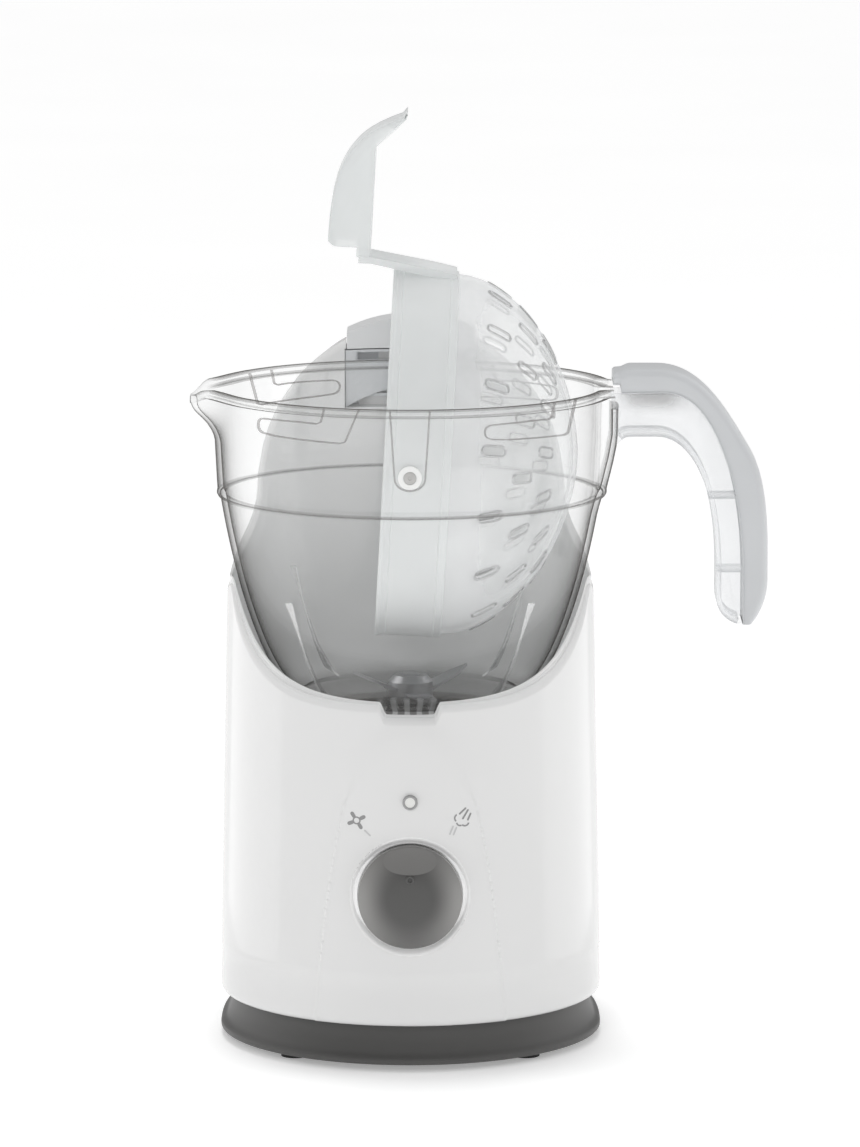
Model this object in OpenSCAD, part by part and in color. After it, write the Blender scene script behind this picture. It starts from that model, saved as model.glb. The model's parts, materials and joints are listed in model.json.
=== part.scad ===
// Steam cooker and blender for baby food.
// Origin: jug axis on the floor. +X towards the jug handle, +Y towards the rear tower, +Z up.
// The steam basket is drawn tipped for emptying; knob, rotor, jug and tank lid are at rest.

/* [Housing] */
// Radius of the housing at its lower edge
housing_r = 81.7; // [78:0.1:86]
// Radius lost by the wall draft for each millimetre of height
housing_draft = 0.0207; // [0:0.001:0.03]
// How much further the rear reaches than the front radius
rear_reach = 33; // [28:1:40]
// Squareness of the rear corners in plan
rear_squareness = 2.6; // [2.2:0.1:3]
// Wall thickness of the housing
housing_wall = 2.8; // [2:0.1:3.6]
// Height of the lower edge of the housing
housing_z = 19.5; // [18:0.5:24]
// Height of the front lip
lip_z = 155.5; // [150:0.5:160]
// Radius of the rounded top of the rear tower
tower_r = 63.5; // [60:0.5:68]
// Height of the centre of the tower's round top
tower_z = 231.6; // [226:0.5:238]
// Radius of the well at the front lip
well_lip_r = 72; // [70:0.5:74]
// Width of the front lip notch
notch_w = 26.6; // [20:0.2:32]
// Depth of the front lip notch
notch_h = 5.2; // [3:0.2:6]

/* [Base] */
// Height of the rubber feet
foot_h = 3; // [2:0.5:5]
// Radius of a foot
foot_r = 6; // [5:0.5:8]
// Radius of the tray at its flared lower edge
tray_r = 81.5; // [79:0.5:84]
// Radius of the tray's waist under the housing
waist_r = 76; // [74:0.5:78]
// Thickness of the tray floor
tray_floor = 2.5; // [2:0.1:3.5]

/* [Controls] */
// Height of the knob's axis
knob_z = 75; // [68:0.5:80]
// Radius of the knob
knob_r = 21.8; // [18:0.2:24]
// How far the knob stands out of its dish
knob_depth = 10; // [8:0.5:13]
// Radius of the knob's spindle
spindle_r = 3; // [2.5:0.1:3.5]
// Height of the status lens
lens_z = 115; // [110:0.5:120]
// Radius of the status lens
lens_r = 3.05; // [2:0.05:4]

/* [Jug] */
// Outer radius of the rim bead
rim_r = 87; // [86:0.1:88]
// Height of the rim
rim_z = 280; // [278:0.5:283]
// Height of the rim bead
rim_h = 3.4; // [2.5:0.1:4.5]
// Wall thickness of the jug
jug_wall = 2.4; // [2:0.1:2.6]
// Inner height of the jug floor
jug_floor_z = 141; // [140:0.2:142]
// Thickness of the jug floor
jug_floor = 3; // [2.5:0.1:3.5]
// Radius of the collar under the bowl
collar_r = 46.5; // [45:0.5:48]
// Height of the step ring
step_z = 234.4; // [232:0.2:237]
// Outer radius at the step ring
step_r = 81; // [80.6:0.1:82]
// How far a fin stands into the bowl
fin_depth = 8; // [5:0.5:10]
// Width of the jug handle
handle_w = 22; // [18:0.5:24]
// Wall of the jug handle
handle_wall = 2.2; // [1.8:0.1:3]
// Width of the handle cover
cover_w = 26; // [24:0.5:28]

/* [Basket] */
// Height of the basket's pivot
pivot_z = 251; // [250:0.1:252]
// Outer radius of the basket band
band_r = 77.9; // [76:0.1:78.2]
// Wall of the band
band_wall = 2; // [1.6:0.1:2.4]
// Band from the pivot to the opening edge
band_up = 11.2; // [9:0.2:12]
// Band from the pivot to the dome
band_down = 16.6; // [14:0.2:17]
// Depth of the dome
dome_h = 54.5; // [48:0.5:56]
// Wall of the dome
dome_wall = 1.8; // [1.5:0.1:2.2]
// Tip angle of the basket as drawn
tip_angle = 86.9; // [80:0.1:90]
// Number of steam slots in a ring
slot_count = 16; // [10:1:18]
// Length of a steam slot
slot_len = 11.5; // [8:0.5:12]
// Width of a steam slot
slot_w = 4; // [3:0.2:5]
// Radius of a pivot shoe
shoe_r = 4.95; // [4.5:0.05:5.5]
// Radius of a pivot pin
pivot_r = 2.7; // [2:0.1:3]
// Thickness of the lever's cheeks and back
lever_wall = 1.8; // [1.4:0.1:2.4]

/* [Drive] */
// Radius of the motor shaft
shaft_r = 4; // [3:0.5:5]
// Radius of the blade shaft
blade_shaft_r = 4; // [3:0.5:5]
// Radius swept by the blades
blade_r = 26.5; // [22:0.5:30]
// Thickness of a blade
blade_t = 1.2; // [1:0.1:2]
// Radius of the armature
armature_r = 15.5; // [12:0.5:18]
// Number of dogs on each coupling
dogs = 6; // [4:1:8]

/* [Water and steam] */
// Radius of the boiler
boiler_r = 22; // [18:0.5:24]
// Height of the boiler cup
boiler_h = 44; // [36:1:46]
// Half width of the water tank
tank_half = 44; // [38:1:46]
// Radius of the steam tube
steam_r = 2.2; // [1.8:0.1:2.2]
// Width of the tank lid
lid_w = 56; // [48:0.5:58]
// How far the lid stands proud of the tower
lid_proud = 3; // [2:0.5:4]

/* [Hidden] */

$fn = 96;
gap = 0.3;              // clearance between neighbouring moulded pieces
run = 0.05;             // running clearance round a turning shaft

// Curve helpers -----------------------------------------------------------------------------

// Point of a cubic curve with ends a, d and handles b, c
function cubic(a, b, c, d, t) =
    (1-t)*(1-t)*(1-t)*a + 3*(1-t)*(1-t)*t*b + 3*(1-t)*t*t*c + t*t*t*d;
function curve(a, b, c, d, n = 10) = [for (i = [0:n]) cubic(a, b, c, d, i/n)];
function tail(p) = [for (i = [1:len(p)-1]) p[i]];
function flip(p) = [for (i = [len(p)-1:-1:0]) p[i]];
// An open outline moved sideways by d, to the left of its direction
function unit(v) = v / norm(v);
function beside(p, d) = [for (i = [0:len(p)-1])
    let (a = p[max(i-1, 0)], b = p[min(i+1, len(p)-1)], u = unit(b - a)) p[i] + d*[-u[1], u[0]]];

// Plan of the housing: a circle in front, a squared oval behind
function plan_r(r, a) = sin(a) <= 0 ? r :
    1 / pow(pow(abs(cos(a))/r, rear_squareness)
          + pow(sin(a)/(r + rear_reach), rear_squareness), 1/rear_squareness);
function plan_at(r, a) = plan_r(r, a) * [cos(a), sin(a)];
// Radius of the housing at a height
function wall_r(z) = housing_r - housing_draft * (z - housing_z);

// Solid between plan outlines, given as [radius, height] from the bottom up
module loft(levels, n = 96) {
    rows = len(levels);
    points = [for (l = levels, i = [0:n-1])
        let (p = plan_at(l[0], 360*i/n)) [p[0], p[1], l[1]]];
    sides = [for (k = [0:rows-2], i = [0:n-1])
        let (j = (i+1) % n) [k*n+i, (k+1)*n+i, (k+1)*n+j, k*n+j]];
    polyhedron(points, concat(sides, [[for (i = [0:n-1]) i],
        [for (i = [n-1:-1:0]) (rows-1)*n + i]]), convexity = 6);
}

// Half tube section turned through part of a circle, centred on angle a
module sector(a, spread) {
    rotate([0, 0, a - spread/2]) rotate_extrude(angle = spread) children();
}
// Ring from r1 to r2 and z1 to z2
module ring(r1, r2, z1, z2) {
    translate([0, 0, z1]) difference() {
        cylinder(r = r2, h = z2 - z1);
        translate([0, 0, -1]) cylinder(r = r1, h = z2 - z1 + 2);
    }
}
module box(x, y, z) {
    translate([x[0], y[0], z[0]]) cube([x[1]-x[0], y[1]-y[0], z[1]-z[0]]);
}
// Cylinder along Y, from y1 to y2
module along_y(r, y1, y2, x = 0, z = 0) {
    translate([x, y1, z]) rotate([-90, 0, 0]) cylinder(r = r, h = y2 - y1);
}
// Outline in X and Z made into a plate between two Y values
module plate_y(y1, y2) {
    translate([0, y2, 0]) rotate([90, 0, 0]) linear_extrude(y2 - y1) children();
}
// Round tube swept along a route
module tube_route(points, r, n = 12) {
    last = len(points) - 1;
    rings = [for (i = [0:last]) let (
        t = unit(points[min(i+1, last)] - points[max(i-1, 0)]),
        u = unit(cross(t, [1, 0.3, 0.1])), v = cross(t, u))
        for (k = [0:n-1]) points[i] + r*(cos(360*k/n)*u + sin(360*k/n)*v)];
    sides = [for (i = [0:last-1], k = [0:n-1]) let (j = (k+1) % n)
        [i*n+k, i*n+j, (i+1)*n+j, (i+1)*n+k]];
    polyhedron(rings, concat([[for (k = [n-1:-1:0]) k]], [[for (k = [0:n-1]) last*n + k]], sides));
}

// Jug outline -------------------------------------------------------------------------------

collar_z = jug_floor_z - 17;                  // bottom of the collar
bowl_z = jug_floor_z + 6;                     // where the collar turns into the bowl
bowl = curve([collar_r, bowl_z], [collar_r + 13.5, bowl_z + 3],
             [step_r - 7, step_z - 44.4], [step_r, step_z], 12);
upper_r = step_r + 1;                         // outer radius just above the step ring
side_r = step_r + 2.4;                        // outer radius under the rim
outer = concat(bowl, [[upper_r, step_z + 0.6], [side_r - 0.4, pivot_z + 4],
                      [side_r, rim_z - rim_h]]);
inner = concat([[collar_r - 6.5, jug_floor_z], [collar_r - 4.5, jug_floor_z + 0.6]],
               beside([for (p = bowl) if (p[1] > bowl_z + 6) p], jug_wall),
               [[side_r - jug_wall - 0.4, pivot_z + 4], [side_r - jug_wall, rim_z]]);
inner_rim_r = side_r - jug_wall;

// Well of the housing: follows the jug and lets it lift straight out
lift_r = rim_r + 1.5;                         // clear of the rim bead all the way up
well_floor_z = jug_floor_z - 7;
well_side = concat([[0, well_floor_z], [well_lip_r - 16, well_floor_z]],
    tail(curve([well_lip_r - 16, well_floor_z], [well_lip_r - 6, well_floor_z],
               [well_lip_r - 1, well_floor_z + 8], [well_lip_r, lip_z], 6)),
    tail(curve([well_lip_r, lip_z], [well_lip_r + 1.2, lip_z + 18],
               [well_lip_r + 1.5, lip_z + 26], [76.2, 200], 5)),
    [for (p = outer) if (p[1] > 206) p + [1.6, 0]],
    [[lift_r, rim_z - rim_h - 4], [lift_r, 340], [0, 340]]);

module well(grow = 0) {
    rotate_extrude() union() {
        polygon([for (p = well_side) [p[0] == 0 ? 0 : p[0] + grow, p[1]]]);
        if (grow > 0)
            polygon([[0, well_floor_z - grow], [well_lip_r - 16, well_floor_z - grow],
                     [well_lip_r - 3, well_floor_z + 4], [well_lip_r - 10, lip_z], [0, lip_z]]);
    }
}

// Height of the top edge, seen from the side: low lip in front, steep rise to the tower
function edge_z(y) = lip_z + 0.0107 * pow(max(y + 80, 0), 2);
edge_side = concat([for (y = [-100:10:-80]) [y, edge_z(y)]],
                   [for (y = [-72:8:-8]) [y, edge_z(y)]],
                   tail(curve([-8, edge_z(-8)], [6, edge_z(-8) + 22], [30, tower_z - 8],
                              [52, tower_z + 80], 8)));
// Side of the tower seen from the front, from the housing's side up to the round top
shoulder_r = tower_r + 16.5;
shoulder = curve([shoulder_r, tower_z - 53.6], [shoulder_r, tower_z - 25.6],
                 [tower_r + 1, tower_z - 26.6], [tower_r, tower_z], 8);
// Everything under the top edge and inside the tower's outline, lowered by d
module under_edge(d = 0) {
    top = tower_z + 90;
    intersection() {
        translate([-150, 0, 0]) rotate([90, 0, 90]) linear_extrude(300)
            polygon(concat([for (p = edge_side) p - [0, d]],
                           [[160, top], [160, 0], [-160, 0], [-160, lip_z - d]]));
        union() {
            plate_y(-150, 150) polygon(concat(
                [[shoulder_r + 20, 0], [shoulder_r + 20, 160]],
                [for (p = shoulder) p - [d, 0]],
                [for (p = flip(shoulder)) [d - p[0], p[1]]],
                [[-shoulder_r - 20, 160], [-shoulder_r - 20, 0]]));
            along_y(tower_r - d, -150, 150, z = tower_z);
        }
    }
}

// Housing -----------------------------------------------------------------------------------

module housing_skin(off = 0, z1 = housing_z, z2 = 320) {
    loft([[wall_r(z1) - off, z1], [wall_r(z2) - off, z2]]);
}
hollow_top = notch_h + 3;                     // hollow ends this far under the lip
tower_hollow_z = tower_z - 30;                // from here up the tower has its own hollow
arch_in = 0.5;                                // how proud the front panel is
lid_z = tower_z + sqrt(tower_r*tower_r - lid_w*lid_w/4) - 3.8;   // underside of the lid
lid_back = wall_r(lid_z) + rear_reach;        // rear face of the tower at the lid
knob_plane = wall_r(knob_z) - 3.6;            // flat seat of the knob
dish_r = knob_r + 3.4;
gland_z = housing_z + 12;
gland_y = wall_r(gland_z) + rear_reach;
port_w = lid_w - 8;
port_z = rim_z - 0.6;
panel_low = port_z - 20;
panel_arch_r = 52.6;
boss_r = 4.5;
screw_r = 1.6;
boss_turn = [-68, 40, 140, 248];
boss_at = [for (a = boss_turn) (plan_r(waist_r, a) - 5.8) * [cos(a), sin(a)]];
screw_z = housing_z + 3;

// Arch shaped front panel outline
module arch() {
    side = curve([40.5, 10], [36.5, 62], [32, 98], [24.5, 122], 8);
    top = curve([24.5, 122], [20, 135], [12, 144], [0, 144], 6);
    half = concat(side, tail(top));
    polygon(concat(half, [for (p = flip(half)) [-p[0], p[1]]]));
}
// Steam panel seen from the front: flat top, arched lower edge
module panel_outline(g) {
    half = lid_w/2 + 0.6 + g;
    difference() {
        box([-half, half], [60, lift_r + 4], [panel_low - g, lid_z]);
        along_y(panel_arch_r - g, 50, 130, z = panel_low + 8 - panel_arch_r);
    }
}

module housing() {
    color("whitesmoke") {
        difference() {
            union() {
                intersection() {
                    loft([[housing_r - 2.2, housing_z], [housing_r - 0.7, housing_z + 0.8],
                          [housing_r, housing_z + 3], [wall_r(320), 320]]);
                    under_edge();
                }
                intersection() {
                    loft([[wall_r(22) + arch_in, 22], [wall_r(150) + arch_in, 150]]);
                    plate_y(-120, 0) arch();
                }
            }
            well();
            difference() {
                intersection() {
                    housing_skin(housing_wall, housing_z - 2, tower_hollow_z + 2);
                    under_edge(hollow_top);
                }
                well(housing_wall - 0.3);
                // pad behind the knob dish
                along_y(dish_r + 3, -100, 2.6 - knob_plane, z = knob_z);
            }
            // tower hollow reaches nearer to the top than the lip's does
            difference() {
                intersection() {
                    housing_skin(housing_wall, tower_hollow_z, 316);
                    under_edge(housing_wall);
                    box([-70, 70], [70, 130], [tower_hollow_z, 320]);
                }
                rotate_extrude() polygon([[0, 0], [side_r + 1, 0], [side_r + 1, tower_hollow_z],
                    [lift_r + housing_wall - 0.9, rim_z - 8], [lift_r + housing_wall - 0.9, 400], [0, 400]]);
            }
            // lip notch
            plate_y(-100, -50) polygon([[-notch_w/2, lip_z + 6], [-notch_w/2, lip_z],
                [-notch_w/2 + 2.8, lip_z - notch_h], [notch_w/2 - 2.8, lip_z - notch_h],
                [notch_w/2, lip_z], [notch_w/2, lip_z + 6]]);
            // opening of the well's floor over the jug seat
            cylinder(r = seat_r, h = well_floor_z + 1);
            // knob dish, spindle hole, lens hole
            along_y(knob_r + 0.8, -100, -knob_plane, z = knob_z);
            translate([0, -knob_plane, knob_z]) rotate([90, 0, 0])
                cylinder(r1 = knob_r + 0.8, r2 = dish_r + 2, h = 5.4);
            along_y(spindle_r + 1, -100, -50, z = knob_z);
            along_y(lens_r + 0.1, -100, -50, z = lens_z);
            // lid bay
            box([-lid_w/2 - gap, lid_w/2 + gap], [60, 130], [lid_z - 0.2, 330]);
            // steam panel window
            panel_outline(gap);
            // cord inlet
            along_y(7, 60, 130, z = gland_z);
        }
        for (i = [0:3]) translate([boss_at[i][0], boss_at[i][1], screw_z]) difference() {
            union() {
                cylinder(r = boss_r, h = 30);
                rotate([0, 0, boss_turn[i]]) box([0, 8.8], [-1, 1], [0, 30]);
            }
            translate([0, 0, -1]) cylinder(r = screw_r, h = 22);
        }
        // board pillars behind the control panel
        for (s = [-1, 1]) along_y(3, -wall_r(board_low) + 5, board_y, x = s*24, z = board_low + 6);
        for (s = [-1, 1]) along_y(3, -wall_r(board_top) + 4.2, board_y, x = s*24, z = board_top - 5);
    }
}

// Base --------------------------------------------------------------------------------------

tray_z = foot_h;
seat_r = 57;                                  // opening in the well floor
foot_at = [for (a = [-45, 62, 118, 225]) (plan_r(tray_r, a) - foot_r - 6.6) * [cos(a), sin(a)]];
boiler_at = [0, 71];
boiler_z = 32;

module base_tray() {
    color("dimgray") difference() {
        union() {
            difference() {
                loft([[tray_r - 1, tray_z], [tray_r, tray_z + 1], [tray_r, tray_z + 2.7],
                      [tray_r - 2.6, tray_z + 4.6], [waist_r + 0.8, tray_z + 9.4],
                      [waist_r, housing_z - 3], [waist_r, housing_z + 2.5]]);
                loft([[waist_r - 2.4, tray_z + tray_floor], [waist_r - 2.4, housing_z + 4]]);
            }
            // screw sockets meet the housing bosses
            for (p = boss_at) translate([p[0], p[1], tray_z]) cylinder(r = boss_r + 0.6, h = screw_z - tray_z);
            // boiler posts
            for (a = [90, 210, 330]) translate([boiler_at[0], boiler_at[1], tray_z])
                rotate([0, 0, a]) translate([boiler_r - 1.5, 0, 0]) cylinder(r = 3.2, h = boiler_z - tray_z);
            // stiffening cross
            box([-66, 66], [-1.2, 1.2], [tray_z + 1, tray_z + 7]);
            box([-1.2, 1.2], [-66, 66], [tray_z + 1, tray_z + 7]);
        }
        for (p = boss_at) translate([p[0], p[1], 0]) {
            cylinder(r = screw_r + 0.2, h = 60);
            cylinder(r = 3.4, h = tray_z + 10);
        }
        for (p = foot_at) translate([p[0], p[1], 0]) cylinder(r = 3 + run, h = tray_z + tray_floor + 1);
        // air slots
        for (x = [-30:10:30], s = [-1, 1]) if (x != 0) translate([x - 2, s*28 - 14, 0]) cube([4, 28, 20]);
    }
}

module feet() {
    color("darkslategray") for (p = foot_at) translate([p[0], p[1], 0]) {
        cylinder(r = foot_r, h = foot_h);
        cylinder(r = 3, h = foot_h + tray_floor + 0.5);
        translate([0, 0, foot_h + tray_floor]) cylinder(r1 = 3.6, r2 = 2.6, h = 1.6);
    }
}

module tray_screws() {
    color("silver") for (p = boss_at) translate([p[0], p[1], tray_z + 10]) {
        cylinder(r = screw_r - 0.05, h = 22);
        translate([0, 0, -2.4]) difference() {
            cylinder(r = 3, h = 2.4);
            translate([-0.4, -2.2, -1]) cube([0.8, 4.4, 2.2]);
            translate([-2.2, -0.4, -1]) cube([4.4, 0.8, 2.2]);
        }
    }
}

module cord_gland() {
    color("black") difference() {
        union() {
            along_y(6.9, gland_y - housing_wall - 3, gland_y + 3, z = gland_z);
            along_y(9, gland_y - housing_wall - 3, gland_y - housing_wall - gap, z = gland_z);
        }
        along_y(3.5, gland_y - 5, gland_y + 4, z = gland_z);
    }
}

// Jug seat ----------------------------------------------------------------------------------

seat_floor_z = collar_z;
module jug_seat() {
    color("dimgray") difference() {
        union() {
            ring(collar_r + 0.4, seat_r - gap, seat_floor_z - 3, well_floor_z);
            ring(17, seat_r - gap, seat_floor_z - 3, seat_floor_z);
            ring(seat_r - 4, seat_r + 4, well_floor_z - 6.6, well_floor_z - 2.7);
            ring(17, 19.5, seat_floor_z - 3, seat_floor_z + 3);
        }
        // keyways for the collar's keys
        for (a = [0:90:270]) sector(a + 45, 9) translate([collar_r, seat_floor_z]) square([2.6, 20]);
    }
}

// Motor -------------------------------------------------------------------------------------

post_x = 35;
post_r = 4;
upper_z = 98;
lower_z = 43;
core_z = [62, 86];
coupling_z = [106, collar_z - 5];
bridge_t = 4;

module bridge(z) {
    translate([0, 0, z]) linear_extrude(bridge_t) difference() {
        union() {
            square([2*post_x, 13], center = true);
            circle(r = 14);
            for (s = [-1, 1]) translate([s*post_x, 0]) circle(r = 7);
        }
        circle(r = shaft_r + 5);
    }
}
module motor_bracket() {
    color("lightgray") {
        bridge(lower_z);
        bridge(upper_z);
        for (s = [-1, 1]) translate([s*post_x, 0, tray_z + 7])
            cylinder(r = post_r, h = seat_floor_z - 10 - tray_z);
    }
}
module motor_bearings() {
    color("goldenrod") for (z = [lower_z, upper_z]) difference() {
        union() {
            translate([0, 0, z]) cylinder(r = shaft_r + 5, h = bridge_t);
            translate([0, 0, z - 1]) cylinder(r = shaft_r + 3, h = bridge_t + 2);
        }
        translate([0, 0, z - 2]) cylinder(r = shaft_r + run, h = bridge_t + 4);
    }
}
module motor_shaft() {
    color("silver") translate([0, 0, lower_z - 2]) cylinder(r = shaft_r, h = coupling_z[1] - 2 - lower_z);
}
module field_core() {
    h = core_z[1] - core_z[0];
    color("slategray") translate([0, 0, core_z[0]]) linear_extrude(h) difference() {
        union() {
            square([58, 58], center = true);
            square([2*post_x + 14, 16], center = true);
        }
        circle(r = armature_r + 0.7);
        for (s = [-1, 1]) translate([s*post_x, 0]) circle(r = post_r + 0.1);
        for (s = [-1, 1]) translate([0, s*(armature_r + 7)]) square([32, 5.4], center = true);
    }
}
module field_windings() {
    color("peru") for (s = [-1, 1]) {
        y = s*(armature_r + 7);
        translate([-15.6, y - 2.5, core_z[0] - 4]) cube([31.2, 5, core_z[1] - core_z[0] + 8]);
    }
}
module armature() {
    color("gray") translate([0, 0, core_z[0] - 1]) linear_extrude(core_z[1] - core_z[0] + 2) difference() {
        circle(r = armature_r);
        circle(r = shaft_r);
        for (a = [0:45:315]) rotate(a) translate([armature_r - 2.5, 0]) square([6, 3], center = true);
    }
}
module commutator() {
    color("chocolate") difference() {
        ring(shaft_r, 9, core_z[1] + 2, upper_z - 2.2);
        for (a = [0:30:330]) rotate([0, 0, a]) box([8, 10], [-0.3, 0.3], [core_z[1] + 2.8, upper_z]);
    }
}
module brush_holders() {
    color("tan") for (s = [0, 180]) rotate([0, 0, s]) difference() {
        box([11, post_x - post_r - 0.1], [-4.5, 4.5], [core_z[1] + 2, upper_z - 2]);
        box([10, 27], [-2.6, 2.6], [core_z[1] + 3.5, upper_z - 3.5]);
    }
}
module carbon_brushes() {
    color("black") for (s = [0, 180]) rotate([0, 0, s])
        box([9.1, 22], [-2.5, 2.5], [core_z[1] + 3.6, upper_z - 3.6]);
}
module cooling_fan() {
    color("ivory") {
        ring(shaft_r, 9, 49.5, 56.5);
        ring(shaft_r, 26, 49.5, 50.7);
        for (a = [0:40:320]) rotate([0, 0, a]) box([8.5, 25.5], [-0.7, 0.7], [50.5, 56.5]);
    }
}
// Ring of dogs round a coupling
module dog_ring(z1, z2, turn) {
    pitch = 360 / dogs;
    for (i = [0:dogs-1]) sector(i*pitch + turn, pitch/2 - 4) translate([8, z1]) square([5.6, z2 - z1]);
}
module drive_coupling() {
    color("darkgray") {
        difference() {
            translate([0, 0, coupling_z[0]]) cylinder(r = 14, h = coupling_z[1] - coupling_z[0]);
            translate([0, 0, coupling_z[0] - 1]) cylinder(r = shaft_r, h = coupling_z[1] - coupling_z[0] - 2);
        }
        dog_ring(coupling_z[1] - 1, coupling_z[1] + 4.5, 0);
    }
}

// Controls ----------------------------------------------------------------------------------

board_y = -54;
board_low = knob_z - 16;
board_top = lens_z + 5.5;

module control_board() {
    color("seagreen") difference() {
        box([-32, 32], [board_y, board_y + 1.6], [board_low, board_top]);
        along_y(spindle_r + 2, board_y - 5, board_y + 5, z = knob_z);
        for (s = [-1, 1], z = [board_low + 6, board_top - 5]) along_y(1.2, board_y - 5, board_y + 5, x = s*24, z = z);
    }
}
module rotary_switch() {
    color("darkslateblue") difference() {
        union() {
            box([-13, 13], [board_y - 14, board_y], [knob_z - 13, knob_z + 13]);
            along_y(6, -knob_plane + housing_wall + 1, board_y - 8, z = knob_z);
        }
        along_y(spindle_r + run, -90, board_y - 4, z = knob_z);
    }
}
module knob() {
    face_y = knob_plane + knob_depth;
    color("dimgray") difference() {
        union() {
            translate([0, 0, knob_z]) rotate([90, 0, 0]) rotate_extrude() polygon(concat(
                [[0, knob_plane + 0.4], [knob_r, knob_plane + 0.4]],
                curve([knob_r, face_y - 4.4], [knob_r - 0.6, face_y - 2.4],
                      [knob_r - 8, face_y], [0, face_y], 8)));
            along_y(spindle_r, -knob_plane - 2, board_y - 5, z = knob_z);
        }
        // two finger scoops leave the grip bar between them
        for (s = [-1, 1]) translate([-40, -face_y - 26.5, knob_z + s*20]) rotate([0, 90, 0])
            cylinder(r = 28.6, h = 80);
    }
    color("dimgray") translate([0, -face_y + 0.6, knob_z]) rotate([90, 0, 0]) ring(0.9, 2, 0, 0.9);
}
module status_lens() {
    color("lightcyan") along_y(lens_r, -wall_r(lens_z) - arch_in - 1.2, -wall_r(lens_z) + 5, z = lens_z);
}
module status_lamp() {
    color("orange") {
        along_y(2.4, -wall_r(lens_z) + 5.2, board_y - 4, z = lens_z);
        along_y(1, board_y - 5, board_y, x = -1.2, z = lens_z);
        along_y(1, board_y - 5, board_y, x = 1.2, z = lens_z);
        along_y(3, board_y - 7, board_y - 4, z = lens_z);
    }
}

// Water and steam ---------------------------------------------------------------------------

tank_z = boiler_z + boiler_h + 20;
tank_top = lid_z - 0.7;
tank_off = housing_wall + gap;
tank_wall = 1.5;
tank_mouth = lift_r + 11.4;                   // front of the lid's skirt
steam_end_x = 22.8;                           // where the steam tube meets the outlet
// Space between a cone behind the well and the rear wall, shrunk by w
module tank_space(w, z1, z2) {
    difference() {
        intersection() {
            housing_skin(tank_off + w, z1 - 10, z2 + 10);
            box([w - tank_half, steam_end_x - 3.8 - w], [60, 130], [z1, z2]);
            union() {
                along_y(tower_r - tank_off - w, 50, 150, z = tower_z);
                box([-90, 90], [50, 150], [0, tower_z]);
            }
        }
        translate([0, 0, 80]) cylinder(r1 = 84 + w, r2 = lift_r + 8.6 + w, h = tank_top - 78);
    }
}
feed_at = [-8, boiler_at[1] + 17.5];
module water_tank() {
    color("aliceblue") difference() {
        tank_space(0, tank_z, tank_top);
        tank_space(tank_wall, tank_z + tank_wall, tank_top + 5);
        translate([feed_at[0], feed_at[1], tank_z - 1]) cylinder(r = 2, h = 5);
    }
}
module tank_lid() {
    color("lightsteelblue") {
        difference() {
            intersection() {
                along_y(tower_r + lid_proud, 60, 130, z = tower_z);
                box([-lid_w/2, lid_w/2], [60, 130], [lid_z, 330]);
                housing_skin(0, lid_z - 2, 330);
            }
            cylinder(r = lift_r, h = 400);
            // hollow underside
            intersection() {
                along_y(tower_r + lid_proud - 2.4, 60, 130, z = tower_z);
                box([-lid_w/2 + 2.2, lid_w/2 - 2.2], [lift_r + 2.4, lid_back - 3], [lid_z - 1, 330]);
            }
        }
        // skirt that drops into the tank's mouth
        box([-14, 12], [tank_mouth, tank_mouth + 1.2], [lid_z - 3, tower_z + tower_r + 0.8]);
    }
}
module boiler_cup() {
    color("lightgray") translate([boiler_at[0], boiler_at[1], boiler_z]) difference() {
        union() {
            cylinder(r = boiler_r, h = boiler_h);
            translate([0, 0, boiler_h - 3]) cylinder(r = boiler_r + 3, h = 3);
        }
        translate([0, 0, 6]) cylinder(r = boiler_r - 2, h = boiler_h);
        translate([0, 0, -1]) ring(10.8, 17.2, 0, 5);
    }
}
module boiler_cover() {
    color("gainsboro") translate([boiler_at[0], boiler_at[1], boiler_z + boiler_h]) difference() {
        union() {
            cylinder(r = boiler_r + 3, h = 4);
            for (p = [feed_at - boiler_at, [12, 0]]) translate([p[0], p[1], 0]) cylinder(r = steam_r + 2, h = 8);
        }
        for (p = [feed_at - boiler_at, [12, 0]]) translate([p[0], p[1], -1]) cylinder(r = steam_r + run, h = 12);
    }
}
module heater_ring() {
    color("darkred") translate([boiler_at[0], boiler_at[1], boiler_z]) rotate_extrude()
        translate([14, 0.3]) circle(r = 3, $fn = 24);
}
module thermostat() {
    color("black") translate([boiler_at[0], boiler_at[1], boiler_z - 8]) {
        cylinder(r = 7, h = 8);
        translate([0, 0, -3]) cylinder(r = 4, h = 4);
    }
}
module feed_tube() {
    color("white") translate([feed_at[0], feed_at[1], boiler_z + boiler_h + 1])
        difference() {
            cylinder(r = steam_r, h = tank_z - boiler_z - boiler_h - 1.1, $fn = 32);
            translate([0, 0, -1]) cylinder(r = steam_r - 1, h = 40, $fn = 32);
        }
}
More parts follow.
